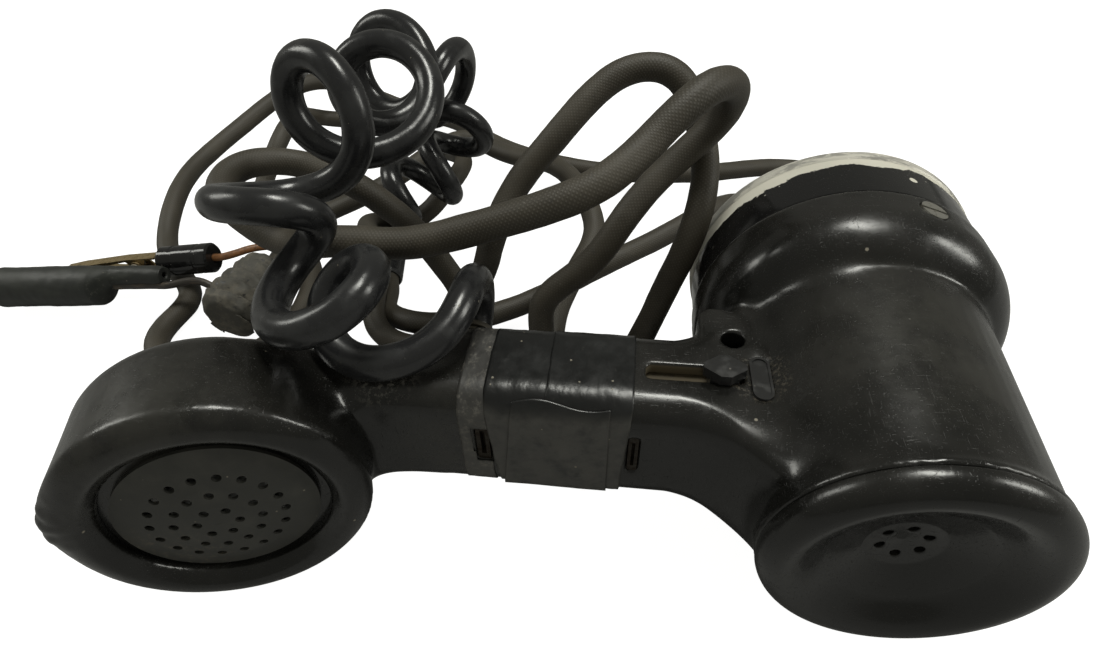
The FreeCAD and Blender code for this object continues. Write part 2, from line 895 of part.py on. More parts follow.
def make_patch():
    body = new_body("grip_tape_patch")
    sheet_outline = new_sketch(body, "XZ_Plane", Placement(Vector(0, 0, -17.4), Rotation()))
    outline(
        sheet_outline,
        [(-66.0, -14.0), (-65.2, 15.5), (-78.0, 16.5), (-91.0, 15.0), (-89.5, -13.0), (-77.0, -15.5)],
    )
    push(body, sheet_outline, 0.7, reverse=True)
    return node(body, "grip_tape_patch")


make_patch()
node(
    group(
        less(box((-97.9, 19.6, -5.3), (-94.6, 25.3, 7.3)), box((-96.8, 18, -3.4), (-95.6, 22, 5.4))),
        less(box((-60.4, 19.6, -5.3), (-57.95, 25.3, 7.3)), box((-59.6, 18, -3.4), (-58.8, 22, 5.4))),
    ),
    "strap_lugs",
)

# ---------------------------------------------------------------- test clips
# A clip's own axes: the pivot is the origin, +X runs to the jaw tips and +Z is up.
def aimed(pivot, tip):
    """A placement at the pivot with X towards the tip and Z as near up as it can be."""
    ahead = (Vector(*tip) - Vector(*pivot)).normalize()
    side = Z.cross(ahead).normalize()
    return Placement(Vector(*pivot), Rotation(ahead, side, ahead.cross(side), "XYZ"))


def jaw(label, place, reach, tail, sign, width):
    """One jaw: a pressed trough with a flat, toothed mouth; sign -1 is the lower jaw."""
    body = new_body(label)
    rise = 3.4 * sign
    lip = 0.12 * sign
    side = outline(
        new_sketch(body, "XZ_Plane"),
        [
            (reach, lip),
            (reach - 0.6, lip + 0.9 * sign),
            (reach - 9.0, lip + 2.0 * sign),
            (4.0, rise),
            (-tail, rise),
            (-tail, rise - 0.8 * sign),
            (3.0, rise - 0.8 * sign),
            (reach - 9.0, lip),
        ],
    )
    push(body, side, width, midplane=True)
    for edge in (-1, 1):
        offset = (1.75 if sign > 0 else 2.6) * edge
        ear = new_sketch(body, "XZ_Plane", Placement(Vector(0, 0, offset - 0.35), Rotation()))
        outline(
            ear,
            [
                (4.5, rise),
                (1.9, -1.46 * sign),
                (0.0, -2.4 * sign, 2.4, sign),
                (-1.9, -1.46 * sign, 2.4, sign),
                (-4.5, rise),
            ],
        )
        push(body, ear, 0.7)
    bite(body, "Cylinder", Placement(Vector(0, -6, 0), ALONG_Y), Radius=1.16 if sign > 0 else 1.11, Height=12.0)
    body.Placement = place
    return node(body, label)


def placed(obj, label, place):
    obj.Placement = place
    return node(obj, label)


def clip(name, place, reach, tail, fixed_tail):
    jaw(f"{name}_fixed_jaw", place, reach, fixed_tail, -1, 6.4)
    jaw(f"{name}_moving_jaw", place, reach, tail, 1, 4.2)
    rivet = joined(
        rod((0, -3.7, 0), (0, 3.7, 0), 1.1),
        rod((0, 3.4, 0), (0, 4.1, 0), 2.1),
        rod((0, -4.1, 0), (0, -3.4, 0), 2.1),
    )
    placed(rivet, f"{name}_rivet", place)
    coils = tube(helix_points(-1.05, 1.05, 1.75, 3), 0.3)
    shaped(f"{name}_spring", coils, place)


CLIP_A = aimed((-260.0, 117.0, -26.5), (-292.5, 115.2, -30.2))
CLIP_B = aimed((-293.3, 104.2, -30.7), (-315.2, 104.8, -33.0))
BACKWARDS = Rotation(Z, 90)  # turns a body's own Y onto a clip's -X
clip("clip_a", CLIP_A, 33.0, 9.0, 20.0)
clip("clip_b", CLIP_B, 31.0, 13.0, 14.0)
turned(
    "clip_a_insulator",
    [
        (4.9, 10.9),
        (5.4, 10.9),
        (6.0, 11.6),
        (6.0, 16.0),
        (5.7, 16.4),
        (5.7, 17.4),
        (6.0, 17.8),
        (6.0, 26.4),
        (5.7, 26.8),
        (5.7, 27.8),
        (6.0, 28.2),
        (6.0, 32.2),
        (5.3, 33.0),
        ("lead_radius + 0.3", 33.0),
        ("lead_radius + 0.3", 30.5),
        (4.9, 29.0),
    ],
    CLIP_A * Placement(Vector(), BACKWARDS),
)
turned(
    "clip_b_boot",
    [
        (7.0, -21.8),
        (8.0, -21.8),
        (8.35, -21.2),
        (7.9, -14.0),
        (7.3, 4.0),
        (6.6, 22.0),
        (5.9, 50.0),
        (5.2, 53.0),
        ("lead_radius + 0.3", 53.0),
        ("lead_radius + 0.3", 30.0),
        (4.9, 20.0),
        (5.6, 6.0),
        (6.4, -8.0),
    ],
    CLIP_B * Placement(Vector(), BACKWARDS),
)

# ---------------------------------------------------------------- cords
def smooth(rows):
    """A natural cubic curve through rows of numbers, one row at each whole step."""
    last = len(rows) - 1
    bend = [[0.0] * len(rows[0]) for _ in rows]
    for k in range(len(rows[0])):
        share, value = [0.0] * (last + 1), [0.0] * (last + 1)
        for i in range(1, last):
            pivot = 4.0 - share[i - 1]
            share[i] = 1.0 / pivot
            jump = rows[i + 1][k] - 2 * rows[i][k] + rows[i - 1][k]
            value[i] = (6.0 * jump - value[i - 1]) / pivot
        for i in range(last - 1, 0, -1):
            bend[i][k] = value[i] - share[i] * bend[i + 1][k]

    def at(t):
        i = min(max(int(t), 0), last - 1)
        u, v = t - i, 1 - (t - i)
        return [
            v * a + u * b + ((v**3 - v) * p + (u**3 - u) * q) / 6
            for a, b, p, q in zip(rows[i], rows[i + 1], bend[i], bend[i + 1])
        ]

    return at


# One row per turn of the retractile cord: centre, radius, and the way the turn faces.
TURNS = (
    (-120.0, 39.5, 29.5, 16.5, -0.08, -0.57, 0.89),
    (-129.5, 26.0, 38.5, 10.5, -0.51, -0.14, 0.58),
    (-150.5, 48.5, 45.0, 12.5, -0.49, 0.59, 0.82),
    (-148.5, 83.0, 54.5, 15.5, -0.04, 0.78, -0.19),
    (-141.5, 118.0, 47.5, 15.0, -0.32, 0.79, -0.68),
    (-155.5, 156.0, 40.5, 16.5, -0.02, 0.78, -0.63),
    (-140.5, 177.5, 25.5, 15.0, 0.65, -0.15, -0.51),
    (-136.5, 175.5, 5.5, 11.0, -0.28, -0.59, -0.83),
    (-146.5, 164.0, -8.0, 11.5, -0.71, -0.37, -0.57),
    (-164.0, 155.0, -13.5, 12.0, -0.66, -0.49, -0.55),
)
START_TURN = 0.078


def coil_points():
    """A left-handed coil whose turns swing from one row of TURNS to the next."""
    at = smooth(TURNS)
    across = Vector(1, 0, 0)
    points = []
    for step in range(24 * (len(TURNS) - 1)):
        row = at(step / 24)
        facing = Vector(*row[4:7]).normalize()
        across = (across - facing * across.dot(facing)).normalize()
        if step % 2:
            continue
        turn = 2 * math.pi * (step / 24 + START_TURN)
        arm = across * math.cos(turn) - facing.cross(across) * math.sin(turn)
        points.append(tuple(Vector(*row[:3]) + arm * row[3]))
    return points


JOINT = aimed((-163.6, 145.0, -36.6), (-160.5, 128.3, -36.9)) * Placement(Vector(), Rotation(Z, -90))


def along_joint(*distances):
    return [tuple(JOINT.multVec(Vector(0, y, 0))) for y in distances]


ENTRY = [(-104, y, 7) for y in (37, 42, 47, 52)]
ENTRY += [(-103.8, 57.2, 11), (-103.2, 58.6, 18), (-102.6, 52.5, 26.5), (-102.6, 41.5, 29)]
TAIL = [(-161, 158, -30), (-164.5, 153, -35.0)] + along_joint(0, 4, 8)
shaped("coil_cord", tube(ENTRY + coil_points() + TAIL, size("coil_cord_radius")))
turned(
    "cord_grommet",
    [
        ("coil_cord_radius + 0.3", 41.0),
        (6.5, 41.0),
        (6.5, 48.6),
        (7.4, 48.6),
        (7.4, 49.6),
        (6.2, 51.6),
        ("coil_cord_radius + 0.3", 51.6),
    ],
    Placement(Vector(-104, 0, 7), Rotation()),
)

# One row for each place where the rubber cord bends, from the joint to the splice.
RUN = (
    (-158, 120, -37), (-157, 113, -37), (-135, 100, -34), (-116, 108, -36),
    (-96, 119, -34), (-73, 133, -28), (-49, 150, -24), (-28, 168, -21), (3, 197, -36),
    (35, 205, -37), (37, 225, -36), (15, 235, -36), (-19, 221, -32), (-58, 216, -32),
    (-96, 220, -31), (-128, 234, -30), (-165, 275, -36), (-205, 292, -34), (-240, 260, -9),
    (-257, 238, -14), (-268, 217, -20), (-275, 194, -24), (-273, 166, -28), (-269, 148, -34),
    (-254, 127, -37), (-239, 109, -38), (-240, 90, -38), (-228, 73, -37), (-206, 74, -37),
    (-192, 90, -37), (-190, 115, -37), (-205, 145, -37), (-232, 164, -37), (-244, 196, -33),
    (-240, 205, -23), (-238, 221, -16), (-238, 266, -32), (-205, 262, -33), (-175, 244, -35),
    (-143, 201, -23), (-147, 181, -25), (-158, 172, -34), (-174, 153, -26), (-161, 125, -24),
    (-153, 94, -34), (-130, 91, -35), (-121, 100, -21), (-126, 103, -11), (-133, 104, 1),
    (-141, 102, 14), (-152, 100, 25), (-170, 104, 29), (-183, 95, 33), (-185, 83, 33),
    (-176, 72, 31), (-161, 65, 27), (-139, 57, 33), (-122, 56, 34), (-104, 56, 39),
    (-88, 56, 45), (-71, 61, 51), (-59, 73, 57), (-47, 83, 65), (-38, 97, 60), (-39, 104, 49),
    (-49, 103, 37), (-62, 94, 25), (-76, 87, 6), (-90, 85, -10), (-90, 79, -26), (-103, 76, -37),
    (-120, 83, -32), (-111, 94, -4), (-106, 93, 12), (-100, 101, 24), (-87, 109, 39),
    (-75, 118, 50), (-64, 123, 55), (-53, 123, 54), (-44, 117, 42), (-41, 104, 29),
    (-44, 93, 16), (-50, 91, -4), (-55, 88, -19), (-67, 81, -34), (-84, 88, -37),
    (-86, 112, -28), (-80, 125, -21), (-76, 141, -16), (-82, 159, -11), (-102, 191, -14),
    (-125, 207, -18), (-144, 217, -17), (-168, 196, -23), (-188, 170, -26), (-205, 148, -28),
    (-206.5, 133, -30),
)
SPLICE = aimed((-213.0, 92.0, -31.0), (-208.0, 121.0, -31.0)) * Placement(Vector(), Rotation(Z, -90))


def in_splice(x, y, z=0):
    return tuple(SPLICE.multVec(Vector(x, y, z)))


rubber_path = along_joint(9, 13, 17) + list(RUN) + [in_splice(0, y) for y in (32, 27, 22, 17)]
shaped("rubber_cord", tube(rubber_path, size("rubber_cord_radius")))
turned(
    "cord_joint",
    [
        ("coil_cord_radius + 0.3", 0),
        (5.0, 0),
        (5.6, 1.5),
        (5.6, 15.5),
        (5.0, 17.0),
        ("coil_cord_radius + 0.3", 17.0),
    ],
    JOINT,
)

bundle = turned(
    "bundle_blank",
    [
        (0, 0),
        (7.5, 0),
        (9.6, 1.5),
        (10.6, 5.0),
        (10.2, 5.6),
        (11.1, 10.0),
        (10.7, 10.6),
        (11.1, 16.0),
        (10.6, 16.6),
        (10.7, 23.0),
        (10.0, 28.0),
        (9.4, 29.4),
        (0, 29.4),
    ],
    SPLICE,
)
nodes.remove(bundle)


LEAD_END, LEAD_MOUTH = in_splice(-5.5, 12.2, 1.6), in_splice(-12.5, 11.6, 4.6)
node(
    less(
        bundle,
        rod(in_splice(0, 15.4), in_splice(0, 32), 4.9),
        rod(in_splice(7.6, 17.4), in_splice(7.6, 32), 1.8),
        rod(LEAD_END, LEAD_MOUTH, 2.1),
    ),
    "splice_tape",
)


def behind(place, distance):
    return tuple(place.multVec(Vector(-distance, 0, 0)))


shaped(
    "copper_lead",
    tube(
        [
            behind(CLIP_A, 29.5),
            behind(CLIP_A, 33.0),
            behind(CLIP_A, 36.5),
            (-215.0, 124.5, -22.0),
            (-204.5, 132.0, -24.5),
            (-198.5, 135.5, -27.5),
            (-196.3, 132.5, -30.0),
            in_splice(7.6, 33.5),
            in_splice(7.6, 27.0),
            in_splice(7.6, 19.5),
        ],
        size("lead_radius"),
    ),
)
shaped(
    "black_lead",
    tube(
        [
            *[behind(CLIP_B, distance) for distance in (31.0, 37.0, 43.0, 49.0, 55.0)],
            in_splice(-17.5, 11.2, 6.2),
            LEAD_MOUTH,
            in_splice(-9.7, 11.84, 3.4),
            in_splice(-6.9, 12.08, 2.2),
        ],
        size("lead_radius"),
    ),
)


# ---------------------------------------------------------------- the step files
os.makedirs("parts", exist_ok=True)
doc.recompute()
broken = [obj for obj in doc.Objects if "Invalid" in obj.State or "Error" in obj.State]
for obj in broken:
    print(obj.Label, obj.State, [p.Label for p in obj.InList])
if broken:
    raise RuntimeError("some features failed")
for obj in nodes:
    shape = obj.Shape
    if shape.isNull() or not shape.isValid() or shape.Volume <= 0:
        raise RuntimeError(f"{obj.Label}: bad shape")
    shape.exportStep(f"parts/{obj.Label}.step")
print(len(nodes), "parts")
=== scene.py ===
"""A lineman's telephone hand test set lying on its side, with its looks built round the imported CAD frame.

Lengths below are in millimetres unless a name says otherwise; MM turns them into Blender's metres.
"""

import heapq
import json
import math

import bpy
import numpy as np
from mathutils import Matrix, Vector, noise


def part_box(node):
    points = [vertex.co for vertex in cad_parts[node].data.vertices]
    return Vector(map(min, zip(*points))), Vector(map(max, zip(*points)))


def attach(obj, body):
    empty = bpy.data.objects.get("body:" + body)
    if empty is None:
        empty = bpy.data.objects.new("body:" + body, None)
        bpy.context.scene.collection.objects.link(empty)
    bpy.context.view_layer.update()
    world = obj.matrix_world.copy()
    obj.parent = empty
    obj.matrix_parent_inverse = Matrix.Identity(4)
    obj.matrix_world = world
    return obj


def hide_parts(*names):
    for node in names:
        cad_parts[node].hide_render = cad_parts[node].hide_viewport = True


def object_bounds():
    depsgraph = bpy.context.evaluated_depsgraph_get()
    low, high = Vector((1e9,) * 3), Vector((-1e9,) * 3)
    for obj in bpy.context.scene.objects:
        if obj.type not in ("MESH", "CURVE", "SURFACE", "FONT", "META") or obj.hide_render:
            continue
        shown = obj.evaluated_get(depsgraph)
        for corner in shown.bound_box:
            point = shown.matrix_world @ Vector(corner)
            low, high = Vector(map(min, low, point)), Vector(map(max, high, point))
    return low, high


MM = 0.001
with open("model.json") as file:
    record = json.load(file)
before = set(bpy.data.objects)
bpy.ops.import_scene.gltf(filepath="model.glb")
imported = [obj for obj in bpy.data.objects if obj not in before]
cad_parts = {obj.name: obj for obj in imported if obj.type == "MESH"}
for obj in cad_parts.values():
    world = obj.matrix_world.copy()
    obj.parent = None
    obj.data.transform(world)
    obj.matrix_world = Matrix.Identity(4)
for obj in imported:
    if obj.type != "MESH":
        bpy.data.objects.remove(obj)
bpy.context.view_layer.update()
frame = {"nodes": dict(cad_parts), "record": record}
cad_nodes = frame["nodes"]


# ---------------------------------------------------------------- materials
class Look:
    """A Principled material whose layers are procedural and measured in millimetres."""

    def __init__(self, name, colour, roughness, metallic=0.0):
        self.material = bpy.data.materials.new(name)
        self.material.use_nodes = True
        tree = self.material.node_tree
        self.nodes, self.links = tree.nodes, tree.links
        self.shader = self.nodes["Principled BSDF"]
        self.shader.inputs["Metallic"].default_value = metallic
        self.colour, self.roughness, self.normal = self.solid(colour), roughness, None
        self.place = self.node("ShaderNodeTexCoord").outputs["Object"]
        self.geometry = self.node("ShaderNodeNewGeometry")

    def node(self, kind, **settings):
        made = self.nodes.new(kind)
        for key, value in settings.items():
            setattr(made, key, value)
        return made

    def feed(self, socket, value):
        if isinstance(value, bpy.types.NodeSocket):
            self.links.new(value, socket)
        else:
            socket.default_value = value

    def solid(self, colour):
        made = self.node("ShaderNodeRGB")
        made.outputs[0].default_value = (*colour, 1.0)
        return made.outputs[0]

    def scaled(self, stretch=(1, 1, 1), turn=(0, 0, 0), source=None):
        """Coordinates in mm, stretched and turned in degrees; source is taken to be in mm already."""
        made = self.node("ShaderNodeMapping")
        self.feed(made.inputs["Vector"], source or self.place)
        unit = 1.0 if source else 1000.0
        made.inputs["Scale"].default_value = [unit * s for s in stretch]
        made.inputs["Rotation"].default_value = [math.radians(a) for a in turn]
        return made.outputs[0]

    def noise(self, size, detail=3.0, stretch=(1, 1, 1), turn=(0, 0, 0), source=None, rough=0.55):
        """Cloudy noise whose blobs are about `size` mm across."""
        made = self.node("ShaderNodeTexNoise")
        self.feed(made.inputs["Vector"], self.scaled(stretch, turn, source))
        made.inputs["Scale"].default_value = 1.0 / size
        made.inputs["Detail"].default_value = detail
        made.inputs["Roughness"].default_value = rough
        return made.outputs["Fac"]

    def specks(self, spacing, share):
        """1 inside scattered dots: cells `spacing` mm apart, `share` of a cell's width across."""
        cells = self.node("ShaderNodeTexVoronoi")
        self.feed(cells.inputs["Vector"], self.scaled())
        cells.inputs["Scale"].default_value = 1.0 / spacing
        keep = self.node("ShaderNodeSeparateColor")
        self.feed(keep.inputs[0], cells.outputs["Color"])
        limit = self.math("MULTIPLY", self.ramp(keep.outputs[0], 0.55, 1.0), share)
        inside = self.math("SUBTRACT", limit, cells.outputs["Distance"])
        return self.ramp(inside, 0.0, 0.04)

    def math(self, operation, first, second):
        made = self.node("ShaderNodeMath", operation=operation)
        self.feed(made.inputs[0], first)
        self.feed(made.inputs[1], second)
        return made.outputs[0]

    def ramp(self, value, low, high, start=0.0, end=1.0):
        """value from low..high eased into start..end."""
        made = self.node("ShaderNodeMapRange", interpolation_type="SMOOTHSTEP")
        self.feed(made.inputs["Value"], value)
        for socket, number in zip(("From Min", "From Max", "To Min", "To Max"), (low, high, start, end)):
            self.feed(made.inputs[socket], number)
        return made.outputs["Result"]

    def upward(self, low, high):
        """1 on surfaces that face up."""
        parts = self.node("ShaderNodeSeparateXYZ")
        self.feed(parts.inputs[0], self.geometry.outputs["Normal"])
        return self.ramp(parts.outputs["Z"], low, high)

    def along(self, axis, low, high, start=0.0, end=1.0):
        """A ramp along one of the frame's axes, between two places in mm."""
        parts = self.node("ShaderNodeSeparateXYZ")
        self.feed(parts.inputs[0], self.scaled())
        return self.ramp(parts.outputs[axis], low, high, start, end)

    def near(self, point, reach, edge=0.6):
        """1 within reach of a point, fading out from edge times the reach."""
        made = self.node("ShaderNodeVectorMath", operation="DISTANCE")
        self.feed(made.inputs[0], self.scaled())
        made.inputs[1].default_value = point
        return self.ramp(made.outputs["Value"], reach, reach * edge)

    def all_of(self, *masks):
        """1 where every mask is 1."""
        result = masks[0]
        for mask in masks[1:]:
            result = self.math("MULTIPLY", result, mask)
        return result

    def paint(self, mask, colour=None, roughness=None):
        """Lays a colour and a roughness over what is there, where mask is 1."""
        if colour is not None:
            made = self.node("ShaderNodeMix", data_type="RGBA")
            self.feed(made.inputs["Factor"], mask)
            self.feed(made.inputs["A"], self.colour)
            self.feed(made.inputs["B"], (*colour, 1.0))
            self.colour = made.outputs["Result"]
        if roughness is not None:
            made = self.node("ShaderNodeMix", data_type="FLOAT")
            self.feed(made.inputs["Factor"], mask)
            self.feed(made.inputs["A"], self.roughness)
            self.feed(made.inputs["B"], roughness)
            self.roughness = made.outputs["Result"]
        return self

    def bump(self, height, depth):
        """Raises the surface by up to depth mm where height is 1."""
        made = self.node("ShaderNodeBump")
        made.inputs["Distance"].default_value = depth * MM
        self.feed(made.inputs["Height"], height)
        if self.normal is not None:
            self.feed(made.inputs["Normal"], self.normal)
        self.normal = made.outputs["Normal"]
        return self

    def done(self):
        """The material, with every layer plugged in."""
        self.feed(self.shader.inputs["Base Color"], self.colour)
        self.feed(self.shader.inputs["Roughness"], self.roughness)
        if self.normal is not None:
            self.feed(self.shader.inputs["Normal"], self.normal)
        return self.material


DUST = (0.30, 0.27, 0.21)
GREY_DUST = (0.16, 0.15, 0.13)
SLOT_BROWN = (0.075, 0.060, 0.036)
SOOT = (0.0058, 0.0058, 0.0051)
LEGEND_PLACE = (-30.4, 31.7, 17.3)
SWITCH_SLOT_Y = 32.4


def scratches(look, depth, roughness):
    """Fine hairlines in three directions."""
    for turn, stretch in (((0, 0, 25), (1, 14, 14)), ((40, 0, -50), (14, 1, 14)), ((0, 65, 10), (14, 14, 1))):
        lines = look.noise(5.0, 2.0, stretch, turn)
        mask = look.ramp(lines, 0.66, 0.72)
        look.paint(mask, roughness=roughness)
        look.bump(mask, -depth)


def hard_rubber():
    """Ebonite, polished by hands, with a dull film, hairlines, and dust in its corners."""
    look = Look("hard_rubber", SOOT, 0.17)
    look.paint(look.ramp(look.noise(14, 5), 0.45, 0.75), (0.009, 0.0088, 0.0082), 0.26)
    look.paint(look.ramp(look.noise(3.5, 6, rough=0.7), 0.5, 0.8), roughness=0.34)
    haze = look.all_of(look.upward(0.35, 0.95), look.ramp(look.noise(22, 4), 0.3, 0.6))
    look.paint(look.math("MULTIPLY", haze, 0.5), (0.022, 0.021, 0.019), 0.36)
    for point, reach in (((-160, -4, 24), 34.0), ((4, 34, 28), 36.0), ((-96, 20, 0), 30.0)):
        film = look.all_of(look.near(point, reach, 0.2), look.ramp(look.noise(9, 6, rough=0.7), 0.30, 0.62))
        look.paint(look.math("MULTIPLY", film, 0.55), (0.030, 0.029, 0.024), 0.40)
    scratches(look, 0.012, 0.42)
    look.bump(look.noise(0.9, 3), 0.012)
    dirt = look.noise(1.3, 6, rough=0.75)
    for point, reach, low in (
        ((-121, 28, 15), 13.0, 0.50),
        ((-113, 36, 17), 9.0, 0.55),
        ((-176, 12, 22), 9.0, 0.60),
        ((-104, 44, 17), 7.0, 0.50),
        ((-12, 38, 33), 22.0, 0.66),
        ((8, 30, 33), 20.0, 0.68),
    ):
        mask = look.all_of(look.near(point, reach, 0.2), look.ramp(dirt, low, low + 0.12))
        look.paint(look.math("MULTIPLY", mask, 0.6), GREY_DUST, 0.75)
    slot = look.all_of(
        look.along("X", -58.0, -57.4),
        look.along("X", -39, -43),
        look.along("Z", 17.2, 16.6),
        look.along("Z", 9, 11),
        look.along("Y", SWITCH_SLOT_Y - 3.4, SWITCH_SLOT_Y - 2.8),
        look.along("Y", SWITCH_SLOT_Y + 3.4, SWITCH_SLOT_Y + 2.8),
    )
    look.paint(slot, SLOT_BROWN, 0.8)
    grime = look.ramp(look.noise(1.0, 6, rough=0.75), 0.5, 0.62)
    grime = look.all_of(look.near(LEGEND_PLACE, 8.5, 0.75), grime)
    look.paint(look.math("MULTIPLY", grime, 0.5), (0.10, 0.085, 0.060), 0.75)
    look.paint(look.math("MULTIPLY", look.specks(5.5, 0.10), 0.7), DUST, 0.8)
    fine = look.all_of(look.specks(2.2, 0.12), look.upward(0.1, 0.8))
    fine = look.all_of(fine, look.ramp(look.noise(25, 3), 0.45, 0.65))
    look.paint(look.math("MULTIPLY", fine, 0.55), GREY_DUST, 0.8)
    return look.done()


def ring_paint():
    """Gloss black on the dial housing, chipped back to cream primer towards the bezel."""
    look = Look("ring_paint", (0.0055, 0.0055, 0.0058), 0.12)
    look.paint(look.ramp(look.noise(9, 5), 0.5, 0.75), roughness=0.26)
    scratches(look, 0.01, 0.35)
    look.bump(look.noise(7, 2), 0.05)
    ragged = look.math("ADD", look.along("Y", 88.5, 97.5), look.noise(5, 7, (0.5, 1.2, 0.5), rough=0.62))
    ragged = look.math("ADD", ragged, look.along("X", -30, 40, 0.05, -0.45))
    chips = look.ramp(ragged, 0.80, 0.83)
    chips = look.math("MAXIMUM", chips, look.near((12.0, 88.6, 40.0), 1.3, 0.75))
    chips = look.math("MAXIMUM", chips, look.near((-11.0, 93.8, 40.2), 1.1, 0.7))
    chips = look.math("MAXIMUM", chips, look.all_of(look.specks(4.2, 0.16), look.along("Y", 84, 95)))
    look.paint(chips, (0.62, 0.60, 0.52), 0.55)
    look.bump(chips, -0.08)
    return look.done()


def bezel_metal():
    """Bare dull metal, streaked by wear."""
    look = Look("bezel_metal", (0.66, 0.64, 0.57), 0.42, 0.25)
    streak = look.noise(4, 6, (0.3, 1.6, 0.3), rough=0.7)
    look.paint(look.ramp(streak, 0.46, 0.56), (0.36, 0.35, 0.32), 0.3)
    look.paint(look.ramp(look.noise(3.2, 7, rough=0.8), 0.56, 0.66), (0.80, 0.78, 0.70), 0.6)
    look.paint(look.ramp(look.noise(2.4, 6, (1, 3, 1), rough=0.8), 0.66, 0.72), (0.06, 0.055, 0.05), 0.5)
    look.bump(streak, 0.06)
    return look.done()


def worn_steel(name, base=(0.42, 0.41, 0.37)):
    look = Look(name, base, 0.34, 0.85)
    look.paint(look.ramp(look.noise(1.6, 6, rough=0.7), 0.5, 0.7), (0.13, 0.12, 0.10), 0.6)
    look.bump(look.noise(0.7, 4), 0.03)
    return look.done()


def inner_metal(name, base):
    look = Look(name, base, 0.32, 1.0)
    look.paint(look.ramp(look.noise(3, 5), 0.45, 0.75), tuple(c * 0.6 for c in base), 0.5)
    look.bump(look.noise(0.5, 2, (1, 8, 1)), 0.01)
    return look.done()


def enamel(name, base, dirt, roughness=0.35):
    look = Look(name, base, roughness)
    look.paint(look.ramp(look.noise(6, 6, rough=0.7), 0.5, 0.8), dirt, 0.6)
    look.bump(look.noise(2, 3), 0.01)
    return look.done()


def grid_metal():
    look = Look("grid_metal", (0.030, 0.030, 0.026), 0.55, 0.1)
    look.paint(look.ramp(look.noise(10, 5), 0.45, 0.7), (0.044, 0.043, 0.037), 0.6)
    grime = look.ramp(look.noise(1.4, 6, rough=0.8), 0.5, 0.7)
    grime = look.all_of(look.near((-166, -14, -14), 20, 0.3), grime)
    look.paint(look.math("MULTIPLY", grime, 0.7), (0.16, 0.135, 0.10), 0.8)
    look.paint(look.math("MULTIPLY", look.specks(3.0, 0.12), 0.6), DUST, 0.8)
    look.bump(look.noise(0.35, 3), 0.02)
    return look.done()


def moulded(name, base=(0.014, 0.014, 0.014), roughness=0.3):
    look = Look(name, base, roughness)
    look.paint(look.ramp(look.noise(4, 5), 0.5, 0.75), tuple(c * 2 for c in base), roughness + 0.2)
    look.paint(look.math("MULTIPLY", look.specks(2.0, 0.16), 0.5), GREY_DUST, 0.8)
    look.bump(look.noise(0.6, 3), 0.015)
    return look.done()


def rusty_steel():
    look = Look("rusty_steel", (0.024, 0.020, 0.014), 0.6, 0.4)
    look.paint(look.ramp(look.noise(1.1, 7, rough=0.8), 0.42, 0.62), (0.020, 0.013, 0.008), 0.85)
    look.paint(look.ramp(look.noise(0.7, 5), 0.62, 0.72), (0.060, 0.045, 0.026), 0.5)
    look.bump(look.noise(0.5, 5), 0.05)
    return look.done()


def vinyl_tape(name, base, roughness, dusty):
    """Stretched tape: creased and glossy on top, rougher on its sides, which carry painted light that makes
    them lighter; dusty from 0 to 1 adds grey dirt.
    """
    look = Look(name, base, roughness)
    look.paint(look.ramp(look.noise(9, 5), 0.42, 0.72), tuple(c * 1.5 for c in base), roughness + 0.12)
    creases = look.noise(4.5, 3, (1, 0.5, 1), (0, 20, 35))
    look.bump(look.ramp(creases, 0.38, 0.62), 0.045)
    look.bump(look.noise(0.5, 3), 0.012)
    # Painted light: faces that do not point up are painted lighter, as if lit from the front, and made
    # rougher.
    side = look.math("SUBTRACT", 1.0, look.upward(0.15, 0.7))
    side = look.all_of(side, look.ramp(look.noise(6, 6, rough=0.7), 0.2, 0.6))
    look.paint(side, (0.060, 0.058, 0.052), 0.5)
    dirt = look.ramp(look.noise(2.0, 7, (1, 0.6, 1), rough=0.8), 0.62 - 0.16 * dusty, 0.74 - 0.1 * dusty)
    look.paint(look.math("MULTIPLY", dirt, 0.25 + 0.5 * dusty), GREY_DUST, 0.8)
    look.paint(look.math("MULTIPLY", look.specks(2.6, 0.14), 0.6), DUST, 0.8)
    return look.done()


def friction_tape():
    look = Look("friction_tape", (0.058, 0.055, 0.046), 0.72)
    look.paint(look.ramp(look.noise(5, 6, rough=0.7), 0.42, 0.66), (0.115, 0.105, 0.085), 0.85)
    look.paint(look.ramp(look.noise(2.4, 6, (1, 1, 3)), 0.58, 0.7), (0.016, 0.016, 0.016), 0.35)
    look.bump(look.noise(1.2, 5), 0.10)
    look.bump(look.noise(0.35, 2), 0.03)
    return look.done()


def clip_brass():
    look = Look("clip_brass", (0.46, 0.36, 0.20), 0.36, 0.95)
    look.paint(look.ramp(look.noise(2.2, 6, rough=0.7), 0.42, 0.68), (0.16, 0.12, 0.06), 0.6)
    look.paint(look.ramp(look.noise(1.0, 6, rough=0.8), 0.62, 0.7), (0.55, 0.50, 0.36), 0.4)
    look.paint(look.ramp(look.noise(0.8, 4), 0.68, 0.74), (0.05, 0.035, 0.02), 0.8)
    look.bump(look.noise(0.6, 4), 0.03)
    return look.done()


def boot_rubber():
    look = Look("boot_rubber", (0.014, 0.0155, 0.0135), 0.5)
    look.paint(look.ramp(look.noise(7, 5, (0.4, 1, 1)), 0.42, 0.68), (0.024, 0.026, 0.022), 0.58)
    pale = look.ramp(look.noise(1.5, 6, rough=0.75), 0.56, 0.72)
    pale = look.all_of(look.near((-262, 98, -27), 16, 0.2), pale)
    look.paint(look.math("MULTIPLY", pale, 0.55), (0.19, 0.185, 0.155), 0.8)
    look.paint(look.math("MULTIPLY", look.specks(3.0, 0.12), 0.5), DUST, 0.8)
    look.bump(look.noise(3, 4), 0.06)
    look.bump(look.noise(0.6, 3), 0.015)
    return look.done()


def around_cord(look):
    """The cord's own coordinates: mm along it and mm round it."""
    made = look.node("ShaderNodeUVMap", uv_map="cord")
    return made.outputs["UV"]


